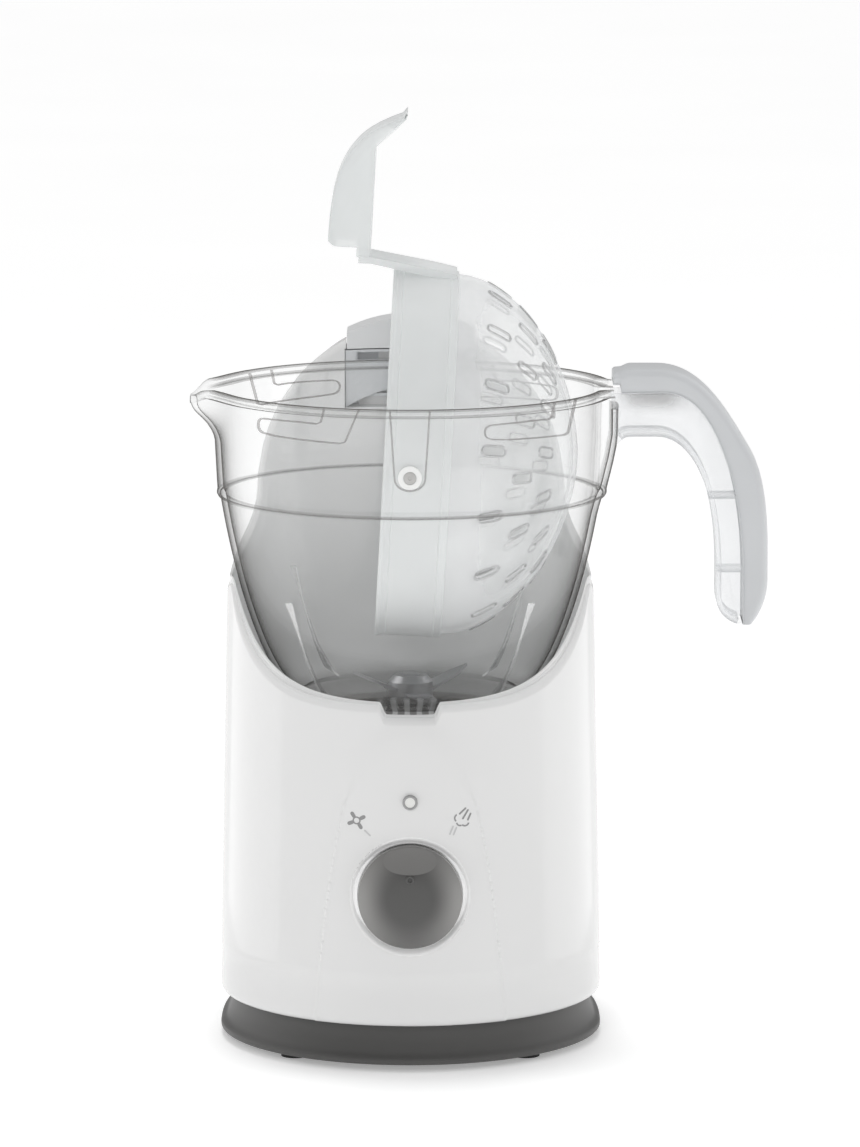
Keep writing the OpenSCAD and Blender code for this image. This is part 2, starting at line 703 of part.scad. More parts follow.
// The steam tube climbs beside the tank and turns in under the outlet
function at_r(r, x) = [x, sqrt(r*r - x*x)];
module steam_tube() {
    start = [boiler_at[0] + 12, boiler_at[1], boiler_z + boiler_h + 1];
    side = at_r(lift_r + 5.8, tank_half + 6);
    turn = at_r(lift_r + 4.9, 36);
    end = at_r(lift_r + 4.7, steam_end_x);
    color("whitesmoke") tube_route([start, start + [0, 0, 10], start + [3, 0, 14],
        [side[0] - 3, side[1], start[2] + 22], [side[0], side[1], start[2] + 28],
        [side[0], side[1], tower_z], [side[0] - 1.6, side[1] + 0.8, tower_z + 4],
        [turn[0], turn[1], port_z - 30], [end[0] + 1, end[1], port_z - 19],
        [end[0], end[1], port_z - 16.1]], steam_r);
}
module steam_outlet() {
    color("gray") {
        difference() {
            intersection() {
                ring(lift_r + 0.2, lift_r + 2.2, panel_low - 5, lid_z + 5);
                panel_outline(0);
                box([-60, 60], [60, 120], [0, lid_z - 0.5]);
            }
            box([-port_w/2, port_w/2], [60, 130], [port_z + 0.4, lid_z - 1.6]);
        }
        // duct behind the slot
        intersection() {
            difference() {
                ring(lift_r + 2.1, lift_r + 6.6, port_z - 16, lid_z - 0.5);
                ring(lift_r + 1, lift_r + 5.2, port_z - 14.6, lid_z - 1.6);
            }
            box([-port_w/2 - 1.4, port_w/2 + 1.4], [60, 130], [0, 400]);
        }
        for (s = [-1, 1]) intersection() {
            ring(lift_r + 2, lift_r + 6, port_z - 15, lid_z - 1);
            box([s*port_w/2 - 0.7, s*port_w/2 + 0.7], [60, 130], [0, 400]);
        }
    }
}

// Jug ---------------------------------------------------------------------------------------

// Handle outlines as offsets from the rim: x beyond the bead, z above or below the rim
function at_rim(p) = [rim_r + p[0], rim_z + p[1]];
function rim_curve(a, b, c, d, n = 8) = curve(at_rim(a), at_rim(b), at_rim(c), at_rim(d), n);
finger_side = concat([at_rim([0.3, -24.6])],
    rim_curve([2.5, -22.4], [3.6, -21.2], [4.6, -21], [6.1, -21], 4),
    rim_curve([17.5, -21], [29, -21], [38, -35], [41.1, -55.5]),
    tail(rim_curve([41.1, -55.5], [42.4, -63], [42.8, -72], [42.8, -80], 4)),
    [at_rim([42.8, -89.4])],
    tail(rim_curve([42.8, -89.4], [42.8, -96], [46, -101], [51.7, -102.9], 5)));
parting = concat([at_rim([-2, -2.6])],
    rim_curve([20, -2.2], [35, -2.2], [43, -18], [49.2, -39.1]),
    tail(rim_curve([49.2, -39.1], [52, -50], [54.1, -65], [54.1, -80.5], 5)),
    [at_rim([54.1, -102.5])]);
cover_top = 8.1;
outer_side = concat([at_rim([0.6, cover_top - 4.5]), at_rim([2.4, cover_top - 1.5]), at_rim([5.5, cover_top])],
    rim_curve([17.7, cover_top], [37, cover_top], [48, -12], [58.5, -29.8]),
    tail(rim_curve([58.5, -29.8], [62.5, -37], [64.7, -52], [64.7, -70], 5)),
    [at_rim([64.7, -82.6])],
    tail(rim_curve([64.7, -82.6], [64.7, -90], [60.5, -96], [55.7, -102.5], 5)));

module jug_handle() {
    difference() {
        plate_y(-handle_w/2, handle_w/2) polygon(concat(finger_side, flip(parting)));
        plate_y(-handle_w/2 + handle_wall, handle_w/2 - handle_wall) polygon(concat(
            [for (p = beside(finger_side, handle_wall)) if (p[0] > rim_r + 4) p],
            [for (p = flip(beside(parting, 4))) if (p[0] > rim_r + 4 && p[1] > rim_z - 99) p]));
    }
    // cross ribs inside the channel
    for (z = [rim_z - 47.3, rim_z - 78.8])
        intersection() {
            plate_y(-handle_w/2 + 0.5, handle_w/2 - 0.5) polygon(concat(finger_side, flip(parting)));
            box([rim_r + 30, rim_r + 70], [-30, 30], [z - 0.8, z + 0.8]);
        }
}
module handle_cover() {
    color("lightgray") difference() {
        plate_y(-cover_w/2, cover_w/2) polygon(concat(tail(parting), flip(outer_side)));
        plate_y(-handle_w/2 + handle_wall, handle_w/2 - handle_wall) polygon(concat(
            [for (p = beside(parting, -1)) if (p[0] > rim_r + 3 && p[1] > rim_z - 98) p],
            [for (p = flip(beside(outer_side, -handle_wall)))
                if (p[0] > rim_r + 4 && p[1] > rim_z - 92) p]));
        box([0, rim_r + 1.5], [-30, 30], [0, rim_z + 1]);
    }
}

module spout_form(g) {
    hull() {
        for (s = [-1, 1]) translate([-71.5, s*37, rim_z - 2.5]) sphere(r = 1.2 + g, $fn = 16);
        translate([-88.6, 0, rim_z - 4.2]) sphere(r = 2.6 + g, $fn = 20);
        translate([-79.6, 0, rim_z - 24]) sphere(r = 1.2 + g, $fn = 16);
    }
}
module spout_mouth() {
    hull() {
        for (s = [-1, 1]) translate([-71.5, s*37, rim_z + 6]) sphere(r = 1.2, $fn = 16);
        for (s = [-1, 1]) translate([-71.5, s*37, rim_z - 2.5]) sphere(r = 1.2, $fn = 16);
        translate([-88.6, 0, rim_z + 6]) sphere(r = 2.6, $fn = 20);
        translate([-88.6, 0, rim_z - 4.2]) sphere(r = 2.6, $fn = 20);
        translate([-79.6, 0, rim_z - 24]) sphere(r = 1.2, $fn = 16);
    }
}

guide_r = shoe_r + run;                       // round end of the pivot guide
guide_top = 7.15;                             // half width of the guide at the rim
lug_starts = [-51, 23.4, 129, 203.4];      // bayonet slots, from the front centre line

module bowl_solid() {
    rotate_extrude() polygon(concat([[0, collar_z], [collar_r, collar_z]], outer,
        [[rim_r - 0.6, rim_z - rim_h], [rim_r, rim_z - rim_h + 0.6], [rim_r, rim_z - 0.6],
         [rim_r - 0.6, rim_z], [0, rim_z]]));
}
module bowl_hollow() {
    rotate_extrude() polygon(concat([[0, jug_floor_z]], inner, [[inner_rim_r, rim_z + 5], [0, rim_z + 5]]));
    translate([0, 0, collar_z - 5]) cylinder(r = collar_r - jug_wall, h = jug_floor_z - jug_floor - collar_z + 5);
    translate([0, 0, collar_z]) cylinder(r = blade_shaft_r + 3.5, h = 40);
}
bulge_r = rim_r + 1.4;                        // outer radius of the bulge behind the lever
bulge_spread = 24.4;
module bulge(g) {
    sector(0, bulge_spread + g*1.6) polygon([[step_r - 8, step_z - 13],
        [step_r - 2.6 + g*0.8, step_z - 11],
        [bulge_r - 4.4 - jug_wall + g, step_z + 4], [bulge_r - jug_wall + g, step_z + 27],
        [bulge_r - jug_wall + g, rim_z + (g > 0 ? 0 : 5)], [step_r - 8, rim_z + (g > 0 ? 0 : 5)]]);
}
module guide(side) {
    intersection() {
        ring(band_r + 1.2, inner_rim_r + 1, pivot_z - 8, rim_z);
        difference() {
            plate_pair(side) polygon([[-guide_top - 2, rim_z + 1], [-guide_r - 2, pivot_z],
                [-guide_r - 1.4, pivot_z - 4], [-3, pivot_z - guide_r - 2],
                [3, pivot_z - guide_r - 2], [guide_r + 1.4, pivot_z - 4], [guide_r + 2, pivot_z],
                [guide_top + 2, rim_z + 1]]);
            plate_pair(side) polygon([[-guide_top, rim_z + 2], [-guide_r, pivot_z],
                [guide_r, pivot_z], [guide_top, rim_z + 2]]);
            along_y(guide_r, -100, 100, z = pivot_z);
        }
    }
}
module plate_pair(side) {
    if (side > 0) plate_y(70, 90) children();
    else plate_y(-90, -70) children();
}
// Thin pointed rib standing on the bowl
module fin() {
    rotate([90, 0, 0]) translate([0, 0, -0.9]) linear_extrude(1.8) difference() {
        polygon([[collar_r - 8, jug_floor_z + 1], [collar_r + 4, jug_floor_z + 1],
                 [step_r - 4, step_z - 38], [step_r - 7.4, step_z - 40],
                 [step_r - 12, step_z - 52], [step_r - 20, step_z - 68],
                 [collar_r + 7 - fin_depth, bowl_z + 8]]);
    }
}
module bayonet(a) {
    run_a = 23.4;
    entry_a = 12;
    high = inner_rim_r - 1.2;
    rotate([0, 0, -90 + a]) {
        rotate_extrude(angle = run_a) translate([high, rim_z - 7.6]) square([1.6, 1]);
        rotate_extrude(angle = run_a + entry_a) translate([high, rim_z - 14]) square([1.6, 1]);
        rotate([0, 0, 0.1]) rotate_extrude(angle = 0.8) translate([high + 0.05, rim_z - 13.5])
            square([1.5, 6.5]);
        rotate([0, 0, run_a - 0.9]) rotate_extrude(angle = 0.8) translate([high + 0.05, rim_z - 7.2])
            square([1.5, 7]);
        rotate([0, 0, run_a + entry_a - 0.9]) rotate_extrude(angle = 0.8)
            translate([high + 0.05, rim_z - 13.5]) square([1.5, 13.3]);
    }
}

module jug() {
    color("lightcyan", 0.4) {
        difference() {
            union() {
                bowl_solid();
                spout_form(jug_wall - 0.2);
                jug_handle();
                bulge(jug_wall);
                // ring under the step
                ring(step_r - 1, step_r + 0.9, step_z - 0.9, step_z + 0.9);
                // grip ribs on the collar
                for (a = [5:10:355]) rotate([0, 0, a]) box([collar_r - 1, collar_r + 0.3], [-0.8, 0.8],
                    [well_floor_z + 0.5, bowl_z - 1.2]);
                // keys that stop the jug from turning
                for (a = [0:90:270]) sector(a + 45, 8) translate([collar_r - 0.5, collar_z + 0.4])
                    square([2.6, 5]);
            }
            bowl_hollow();
            spout_mouth();
            bulge(0);
            translate([0, 0, rim_z]) cylinder(r = 120, h = 6);
            // droop of the spout lip
            translate([-rim_r + 5, -30, rim_z]) rotate([0, -16, 0]) translate([-40, 0, 0]) cube([40, 60, 20]);
            // gate in the rim for the lever's neck
            box([step_r - 8, rim_r + 1.5], [-16, 16], [pivot_z + 20, 300]);
        }
        intersection() {
            for (a = [45:90:315]) rotate([0, 0, a]) fin();
            rotate_extrude() polygon(concat([[0, collar_z]], outer, [[0, rim_z]]));
        }
        guide(1);
        guide(-1);
        for (a = lug_starts) bayonet(a);
    }
}

// Blades ------------------------------------------------------------------------------------

hub_z = jug_floor_z + 3;
module blade_bush() {
    color("dimgray") difference() {
        union() {
            translate([0, 0, jug_floor_z - 8]) cylinder(r = blade_shaft_r + 3.5, h = 9.5);
            translate([0, 0, jug_floor_z]) cylinder(r = 13.5, h = 2.4);
        }
        translate([0, 0, jug_floor_z - 20]) cylinder(r = blade_shaft_r + run, h = 40);
    }
}
module bush_nut() {
    color("darkgray") translate([0, 0, jug_floor_z - jug_floor - 4]) difference() {
        cylinder(r = 12, h = 4, $fn = 6);
        translate([0, 0, -1]) cylinder(r = blade_shaft_r + 3.5, h = 6);
    }
}
module shaft_seal() {
    color("black") ring(blade_shaft_r + run, 7, jug_floor_z + 2.4, hub_z - 0.3);
}
module blade_shaft() {
    color("silver") translate([0, 0, collar_z]) cylinder(r = blade_shaft_r, h = hub_z + 12 - collar_z);
}
// One wing: flat at the hub, then turned up or down by its tilt
module wing(turn, z, tilt) {
    rotate([0, 0, turn]) translate([8, 0, z]) rotate([0, -tilt, 0]) linear_extrude(blade_t) polygon([
        [-1.5, -5.2], [4, -5.6], [blade_r - 12, -3.4], [(blade_r - 8)/cos(tilt), 1.6],
        [blade_r - 13, 4.4], [4, 5.4], [-1.5, 5.2]]);
}
module blades() {
    color("silver") difference() {
        union() {
            translate([0, 0, hub_z]) cylinder(r = 9.5, h = 8.6);
            translate([0, 0, hub_z + 8.6]) cylinder(r1 = 9.5, r2 = 7, h = 2.6);
            wing(20, hub_z + 5, 24);
            wing(200, hub_z + 5, 24);
            wing(110, hub_z + 3, -4);
            wing(290, hub_z + 3, -4);
        }
        translate([0, 0, hub_z - 1]) cylinder(r = blade_shaft_r, h = 13);
    }
}
module driven_coupling() {
    z1 = coupling_z[1] + 5;
    color("darkgray") {
        difference() {
            translate([0, 0, z1]) cylinder(r = 14, h = 8.6);
            translate([0, 0, collar_z]) cylinder(r = blade_shaft_r, h = 20);
        }
        dog_ring(z1 - 4.5, z1 + 1, 180/dogs);
    }
}

// Basket ------------------------------------------------------------------------------------

// Basket drawn level about its pivot, then tipped to its drawn pose
module tipped() {
    translate([0, 0, pivot_z]) rotate([0, -tip_angle, 0]) children();
}
dome_r = band_r - 1.2;
dome_out = [for (i = [0:14]) let (a = 90*i/14)
    [dome_r*pow(cos(a), 1.1), -band_down - dome_h*pow(sin(a), 1.1)]];
module basket_band() {
    color("white", 0.6) tipped() {
        rotate_extrude() polygon([
            [band_r - band_wall, band_up], [band_r - band_wall, 3 - band_down],
            [band_r - band_wall - 0.6, 2 - band_down], [band_r - band_wall - 0.6, -band_down],
            [band_r, -band_down], [band_r, band_up - 2.4], [band_r + 0.6, band_up - 2],
            [band_r + 0.6, band_up - 0.4], [band_r + 0.2, band_up]]);
        // pivot pins
        for (s = [-1, 1]) translate([0, s*(band_r - 1), 0]) rotate([-s*90, 0, 0])
            cylinder(r = pivot_r, h = 2.6);
    }
}
module pivot_shoes() {
    color("white", 0.6) translate([0, 0, pivot_z]) for (s = [-1, 1]) rotate([-s*90, 0, 0]) difference() {
        translate([0, 0, band_r + 0.25]) cylinder(r = shoe_r, h = 1.4);
        translate([0, 0, band_r - 2]) cylinder(r = pivot_r + run, h = 8);
    }
}
// Oval slot through the dome at a depth below the band, its long way running to the apex
function dome_at(f) = [dome_r*pow(cos(90*f), 1.1), -band_down - dome_h*pow(sin(90*f), 1.1)];
module slot_ring(f, turn) {
    p = dome_at(f);
    q = dome_at(f + 0.02);
    tilt = atan2(q[0] - p[0], q[1] - p[1]);       // lean of the wall at this depth
    for (i = [0:slot_count-1]) rotate([0, 0, (i + turn)*360/slot_count])
        translate([p[0], 0, p[1]]) rotate([0, tilt, 0]) rotate([0, 90, 0])
            translate([0, 0, -6]) linear_extrude(12) union() {
                square([slot_len - slot_w, slot_w], center = true);
                for (s = [-1, 1]) translate([s*(slot_len - slot_w)/2, 0]) circle(d = slot_w, $fn = 24);
            }
}
dome_in = [for (p = beside(dome_out, -dome_wall)) [max(p[0], 0), p[1]]];
module basket_dome() {
    color("aliceblue", 0.5) tipped() difference() {
        rotate_extrude() polygon(concat(
            [[band_r - band_wall - 0.8, 1.8 - band_down], [band_r - band_wall - 0.8, -band_down]],
            dome_out, [[0, dome_in[14][1]]], [for (i = [13:-1:1]) dome_in[i]],
            [[dome_in[1][0] - 0.6, -band_down], [dome_in[1][0] - 0.6, 1.8 - band_down]]));
        slot_ring(0.235, 0.43);
        slot_ring(0.40, 0);
        slot_ring(0.545, 0.5);
    }
}

// Lever in the plane of its travel: x from the basket axis, z above the pivot
lever_in = cover_w/2 + 0.5;
lever_out = lever_in + lever_wall;
back = concat([[rim_r + 0.5, 27.4], [rim_r + 0.5, 37]],
    curve([rim_r + 2.5, 39.6], [rim_r + 22, 39.6], [rim_r + 36, 38], [rim_r + 47, 26.7], 8),
    tail(curve([rim_r + 47, 26.7], [rim_r + 50.6, 22.6], [rim_r + 53.6, 17], [rim_r + 56, 10.9], 4)));
underside = [[rim_r + 58.4, 8.8], [rim_r + 55.4, 9.2], [rim_r + 43.3, 21.2]];
module basket_lever() {
    spread = 2*asin(lever_out/band_r);
    color("white", 0.6) tipped() {
        difference() {
            plate_y(-lever_out, lever_out) polygon(concat([[rim_r - 3.6, 21.4], [rim_r - 3.6, 27.4]], back, underside));
            plate_y(-lever_in, lever_in) polygon(concat(
                [[rim_r - 1, 10], [rim_r - 1, 27.4], [rim_r - 4, 27.4], [rim_r - 4, 36.5]],
                [for (p = beside(back, -1.6)) if (p[1] < 27 || p[1] > 28) p],
                [[rim_r + 54.4, 8], [rim_r + 30, 5]]));
        }
        // curved plate up the outside of the band
        intersection() {
            sector(0, spread) polygon([[band_r + 1.1, -band_down + 0.6], [band_r + 2.6, -band_down + 0.6],
                [band_r + 7.6, 20.8], [band_r + 7.6, 27], [band_r + 4.4, 27], [band_r + 4.4, 20.8]]);
            box([50, 100], [0.1 - lever_out, lever_out - 0.1], [-30, 40]);
        }
        // root of the plate on the band
        intersection() {
            sector(0, spread) polygon([[band_r, -band_down + 0.6], [band_r + 1.4, -band_down + 0.6],
                [band_r + 2.4, -6], [band_r, -6]]);
            box([50, 100], [-lever_out, lever_out], [-30, 40]);
        }
    }
}

housing();
base_tray();
feet();
tray_screws();
jug_seat();
motor_bracket();
field_core();
field_windings();
armature();
commutator();
motor_shaft();
motor_bearings();
brush_holders();
carbon_brushes();
cooling_fan();
drive_coupling();
control_board();
rotary_switch();
knob();
status_lamp();
status_lens();
water_tank();
tank_lid();
boiler_cup();
boiler_cover();
heater_ring();
thermostat();
feed_tube();
steam_tube();
steam_outlet();
cord_gland();
jug();
handle_cover();
blade_bush();
bush_nut();
shaft_seal();
blade_shaft();
blades();
driven_coupling();
basket_band();
basket_dome();
basket_lever();
pivot_shoes();
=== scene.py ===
"""Baby food maker: steam cooker and blender with a clear jug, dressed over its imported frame."""

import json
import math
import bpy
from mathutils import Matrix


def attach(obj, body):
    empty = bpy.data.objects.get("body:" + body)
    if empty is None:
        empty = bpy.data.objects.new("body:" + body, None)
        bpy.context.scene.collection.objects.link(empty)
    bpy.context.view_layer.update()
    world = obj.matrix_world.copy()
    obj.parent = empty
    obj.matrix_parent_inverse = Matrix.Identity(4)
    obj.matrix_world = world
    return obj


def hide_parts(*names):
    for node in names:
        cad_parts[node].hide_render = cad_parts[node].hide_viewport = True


bl_info = {
    "name": "Baby Food Maker",
    "version": (1, 0, 0),
    "blender": (4, 5, 0),
    "location": "3D View > Sidebar > Food Maker",
    "description": "Builds the surfaces, finishes and studio of a baby food maker",
    "category": "Add Mesh",
}

from functools import partialmethod

import bmesh
import bpy
import numpy as np
from bpy.props import FloatProperty, FloatVectorProperty, PointerProperty
from mathutils import Vector
from numpy import cos, linspace, pi, sin, vstack

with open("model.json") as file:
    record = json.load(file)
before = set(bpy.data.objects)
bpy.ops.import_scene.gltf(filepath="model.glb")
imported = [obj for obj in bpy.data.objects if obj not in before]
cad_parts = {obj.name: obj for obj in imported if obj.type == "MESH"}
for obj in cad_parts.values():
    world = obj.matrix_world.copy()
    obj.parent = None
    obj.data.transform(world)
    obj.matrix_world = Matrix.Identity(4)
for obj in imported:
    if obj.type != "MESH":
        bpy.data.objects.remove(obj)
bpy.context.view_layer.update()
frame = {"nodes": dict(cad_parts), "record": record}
MM = 0.001

# Sizes in millimetres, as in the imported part
FOOT_R, FOOT_Z, DRAFT = 81.7, 19.5, 0.0207  # housing: lower edge and the loss of radius with height
REAR, SQUARE = 33.0, 2.6  # how much further its rear reaches, and how square it is
LIP_Z, TOWER_R, TOWER_Z = 155.5, 63.5, 231.6
PANEL_TOP, PANEL_OUT = 144.0, 0.55  # arched front panel: its top and how far it stands out
KNOB_Z, KNOB_R, KNOB_FRONT, LAMP_Z = 75.0, 21.8, 86.9, 115.0
DISC_R, DOME_FALL = 0.0213, 0.0034  # the knob's dome, in metres for its finish
LIFT_R = 88.5  # well's radius above the jug's bulge
RIM_R, RIM_Z, RIM_WALL = 87.0, 280.0, 83.4  # jug: bead of its rim and the wall under it
COLLAR_R, STEP_Z, BOWL_WALL, INNER_R = 46.5, 234.4, 2.4, 81.0  # collar, step, wall, inside of the rim
SPOUT_OUT, SWELL, WELL_GAP = 9.6, 5.0, 1.6  # its spout, its bulge behind the lever, room in the well
COVER_HALF = 13.0  # half the width of the handle's cover
PIVOT_Z, TIP = 251.0, math.radians(86.9)  # basket: its pivot and how far it is tipped at rest
LEVER_IN, LEVER_OUT = 13.5, 15.3
DOME_R, DOME_TOP, DOME_DEEP = 76.7, -16.6, 54.5
SLOT_HALF, SLOT_R, SLOTS = 3.75, 2.1, 16  # a steam slot's straight half, its end, and slots a row


# Shader maths


class Value:
    """One socket of a node tree. Arithmetic on it adds Math nodes, so 1 - mask works."""

    def __init__(self, graph, socket):
        self.graph, self.socket = graph, socket

    def math(self, operation, *others):
        values = [self, *others]
        return self.graph.node("ShaderNodeMath", {"operation": operation},
                               **{f"in{i}": v for i, v in enumerate(values)})

    __add__ = __radd__ = partialmethod(math, "ADD")
    __sub__ = partialmethod(math, "SUBTRACT")
    __mul__ = __rmul__ = partialmethod(math, "MULTIPLY")
    __pow__ = partialmethod(math, "POWER")

    def __rsub__(self, other):
        return (self * -1.0) + other

    def between(self, low, high):
        """0 below low, 1 above high and a smooth step from one to the other."""
        return self.graph.node("ShaderNodeMapRange", {"interpolation_type": "SMOOTHSTEP"},
                               Value=self, **{"From Min": low, "From Max": high})


class Finish:
    """A material and the nodes in it."""

    def __init__(self, name="finish"):
        self.material = bpy.data.materials.new(name)
        self.material.use_nodes = True
        self.tree = self.material.node_tree
        self.tree.nodes.clear()

    def node(self, kind, settings=None, out=0, **inputs):
        """Adds a node with its settings, then values or links for its sockets, by name or, as in0,
        by number."""
        made = self.tree.nodes.new(kind)
        for key, value in (settings or {}).items():
            setattr(made, key, value)
        for key, value in inputs.items():
            numbered = key[:2] == "in" and key[2:].isdigit()
            socket = made.inputs[int(key[2:]) if numbered else key]
            if isinstance(value, Value):
                self.tree.links.new(value.socket, socket)
            else:
                socket.default_value = value
        return Value(self, made.outputs[out]) if made.outputs else None

    def place(self):
        return self.node("ShaderNodeTexCoord", out=3)

    def axes(self):
        """The object's own X, Y and Z as three values."""
        split = self.node("ShaderNodeSeparateXYZ", in0=self.place())
        return split, *[Value(self, split.socket.node.outputs[i]) for i in (1, 2)]

    def noise(self, scale, detail=2.0, stretch=None):
        where = self.place()
        if stretch:
            where = self.node("ShaderNodeMapping", Vector=where, Scale=stretch)
        return self.node("ShaderNodeTexNoise", Vector=where, Scale=scale, Detail=detail)

    def blend(self, factor, first, second):
        return self.node("ShaderNodeMix", {"data_type": "RGBA"}, out=2, in0=factor, in6=first,
                         in7=second)

    def clouded(self, noise, colour, spread):
        """A colour that varies with a noise by a small share either way."""
        return self.blend(noise.between(0.3, 0.7), rgba(colour, 1 - spread), rgba(colour, 1 + spread))

    def bump(self, height, strength, distance):
        return self.node("ShaderNodeBump", Height=height, Strength=strength, Distance=distance)

    def surface(self, **inputs):
        return self.node("ShaderNodeBsdfPrincipled",
                         **{key.replace("_", " "): value for key, value in inputs.items()})

    def finish(self, shader):
        self.node("ShaderNodeOutputMaterial", Surface=shader)
        return self.material


def rgba(colour, gain=1.0):
    """A colour, or a grey given as one number, times a gain and with full alpha."""
    shades = (colour,) * 3 if isinstance(colour, (int, float)) else colour
    return (*[min(1.0, c * gain) for c in shades], 1.0)


def moulded(colour, rough, grain_scale=1400.0, grain=0.02, coat=0.0, shade=0.04, bump=0.00002):
    """Opaque moulded plastic: faint cloudy change of colour, fine grain in roughness and relief."""
    f = Finish()
    cloud = f.noise(18.0, 3.0)
    fine = f.noise(grain_scale)
    base = f.clouded(cloud, colour, shade)
    return f.finish(f.surface(Base_Color=base, Roughness=fine * grain * 2 + (rough - grain) + cloud * 0.03,
                              Coat_Weight=coat, Coat_Roughness=0.05,
                              Normal=f.bump(fine, 0.35, bump)))


def shell_white(colour):
    """Glossy white moulding, a little paler in the dish round the knob, where a highlight is painted."""
    f = Finish()
    x, y, z = f.axes()
    reach = (x * x + (z - KNOB_Z * MM) ** 2.0) ** 0.5
    # painted highlight: the dish round the knob goes to white, over the shade the knob casts in it
    dish = (1 - reach.between(0.0244, 0.0256)) * (y * -1.0).between(0.05, 0.07)
    cloud, fine = f.noise(18.0, 3.0), f.noise(900.0)
    base = f.clouded(cloud, colour, 0.008)
    base = f.blend(dish, base, rgba(1))
    return f.finish(f.surface(Base_Color=base, Roughness=fine * 0.02 + cloud * 0.02 + 0.22,
                              Coat_Weight=0.5, Coat_Roughness=0.04, Normal=f.bump(fine, 0.3, 0.00001)))


def turned_satin(colour):
    """Satin plastic of the knob: dark in the middle, with a painted sheen making it paler towards its left
    and right edges by x²/r², and painted light making it paler in the scoops, where the face lies under its
    dome."""
    f = Finish()
    x, y, z = f.axes()
    z = z - KNOB_Z * MM
    r2 = x * x + z * z + 1e-9
    # painted sheen: paler towards the knob's edge, most at its left and right
    rim = (r2 ** 0.5).between(0.009, 0.0215) * (x * x * r2 ** -1.0 * 0.75 + 0.25)
    dome = KNOB_FRONT * MM - (r2 * (1 / DISC_R ** 2)) ** 1.3 * DOME_FALL
    # painted light: paler in the finger scoops
    scoop = (dome + y).between(0.00003, 0.00012) * z.between(-0.002, 0.006)
    fine = f.noise(2200.0)
    base = f.blend(rim.math("MAXIMUM", scoop * 0.5), rgba(colour, 0.9), rgba(colour, 3.6))
    return f.finish(f.surface(Base_Color=base, Roughness=fine * 0.06 + 0.3, Coat_Weight=0.15,
                              Coat_Roughness=0.12, Normal=f.bump(fine, 0.3, 0.00001)))


def lit_through(f, mask, share):
    """A mask that fades for shadow and diffuse rays, so that light passes on through the wall."""
    shadow = f.node("ShaderNodeLightPath", out=1).math("MAXIMUM", f.node("ShaderNodeLightPath", out=2))
    return mask.math("MINIMUM", 1.0) * (1 - shadow * share)


def clear(tint, edge, edge_gain, body=0.02, rough=0.03, haze=0.0, gloss=0.04, lines=None):
    """Clear plastic: see-through face on, a dark line where it turns away, and a thin even gloss.
    lines adds a mask and a paler share of it, both from the object's X, Y and Z."""
    f = Finish()
    facing = f.node("ShaderNodeLayerWeight", out=1, Blend=0.5)
    veil = f.noise(60.0, 3.0)
    through = f.node("ShaderNodeBsdfTransparent", Color=rgba(tint))
    tone = f.clouded(veil, edge, 0.04)
    mask = (facing ** 7.0) * edge_gain + (facing ** 3.0) * 0.05 + (veil * haze * 0.4 + body + haze * 0.8)
    if lines:
        more, pale = lines(f, *f.axes())
        mask, tone = mask + more, f.blend(pale, tone, rgba(0.5))
    solid = f.surface(Base_Color=tone, Roughness=veil * 0.05 + 0.45, Specular_IOR_Level=0.0)
    wall_mix = f.node("ShaderNodeMixShader", in0=lit_through(f, mask, 1.0), in1=through, in2=solid)
    shine = f.surface(Base_Color=rgba(1), Metallic=1.0, Roughness=veil * 0.02 + rough)
    sheen = lit_through(f, (1 - facing) * gloss + 0.004, 1.0)
    return f.finish(f.node("ShaderNodeMixShader", in0=sheen, in1=wall_mix, in2=shine))


def near(value, centre, half):
    """1 at a centre and 0 beyond a half width from it."""
    return 1 - (value - centre).math("ABSOLUTE").between(half * 0.35, half)


def handle_shade(f, x, y, z):
    """Painted shadow that the grey cover casts in the clear channel below it, where the handle leaves the
    rim.
    """
    shade = x.between(0.086, 0.097) * (1 - x.between(0.106, 0.121)) * z.between(0.2665, 0.2755)
    return shade * 0.42, shade


def jug_lines(f, x, y, z):
    """Where light piles up in the jug: at the rim's bead and the step ring, in the floor, and in the
    teeth in front, a wave of the angle about the axis."""
    body = x.between(-0.088, -0.08)
    rims = (near(z, 0.2767, 0.0006) + near(z, 0.2797, 0.0005)) * body * 0.4
    steps = near(z, STEP_Z * MM, 0.0008) * 0.34
    floor = (1 - z.between(0.1445, 0.153)) * 0.3
    teeth = (x.math("ARCTAN2", y) * 60.0).math("SINE").between(-0.2, 0.6)
    low = 1 - z.between(0.1535, LIP_Z * MM)
    front = low * (y * -1.0).between(0.035, 0.045) * near(x, 0.0, 0.021)
    return rims + steps + floor + front * (teeth * 0.2 + 0.45), front * (teeth * 0.6 + 0.25)


def frosted(colour, cover):
    """Frosted plastic: milky, lets some light and shapes through, denser towards its edges."""
    f = Finish()
    facing = f.node("ShaderNodeLayerWeight", out=1, Blend=0.35)
    fine = f.noise(1800.0)
    cloud = f.noise(30.0)
    through = f.node("ShaderNodeBsdfTransparent", Color=rgba((0.97, 0.98, 0.98)))
    milk = f.surface(Base_Color=f.clouded(cloud, colour, 0.02), Roughness=fine * 0.06 + 0.38,
                     Normal=f.bump(fine, 0.3, 0.00002))
    mask = (facing ** 2.0) * 0.5 + cloud * 0.04 + cover
    return f.finish(f.node("ShaderNodeMixShader", in0=lit_through(f, mask, 0.5), in1=through, in2=milk))


def metal(colour, rough, stretch=(1.0, 1.0, 60.0), scale=120.0):
    """Brushed or cast metal: streaks or grain in roughness and relief."""
    f = Finish()
    streak = f.noise(scale, 3.0, stretch)
    cloud = f.noise(40.0)
    base = f.blend(cloud, rgba(colour, 0.9), rgba(colour, 1.08))
    return f.finish(f.surface(Base_Color=base, Metallic=1.0, Roughness=streak * 0.14 + (rough - 0.07),
                              Normal=f.bump(streak, 0.25, 0.00003)))


FINISHES = {}


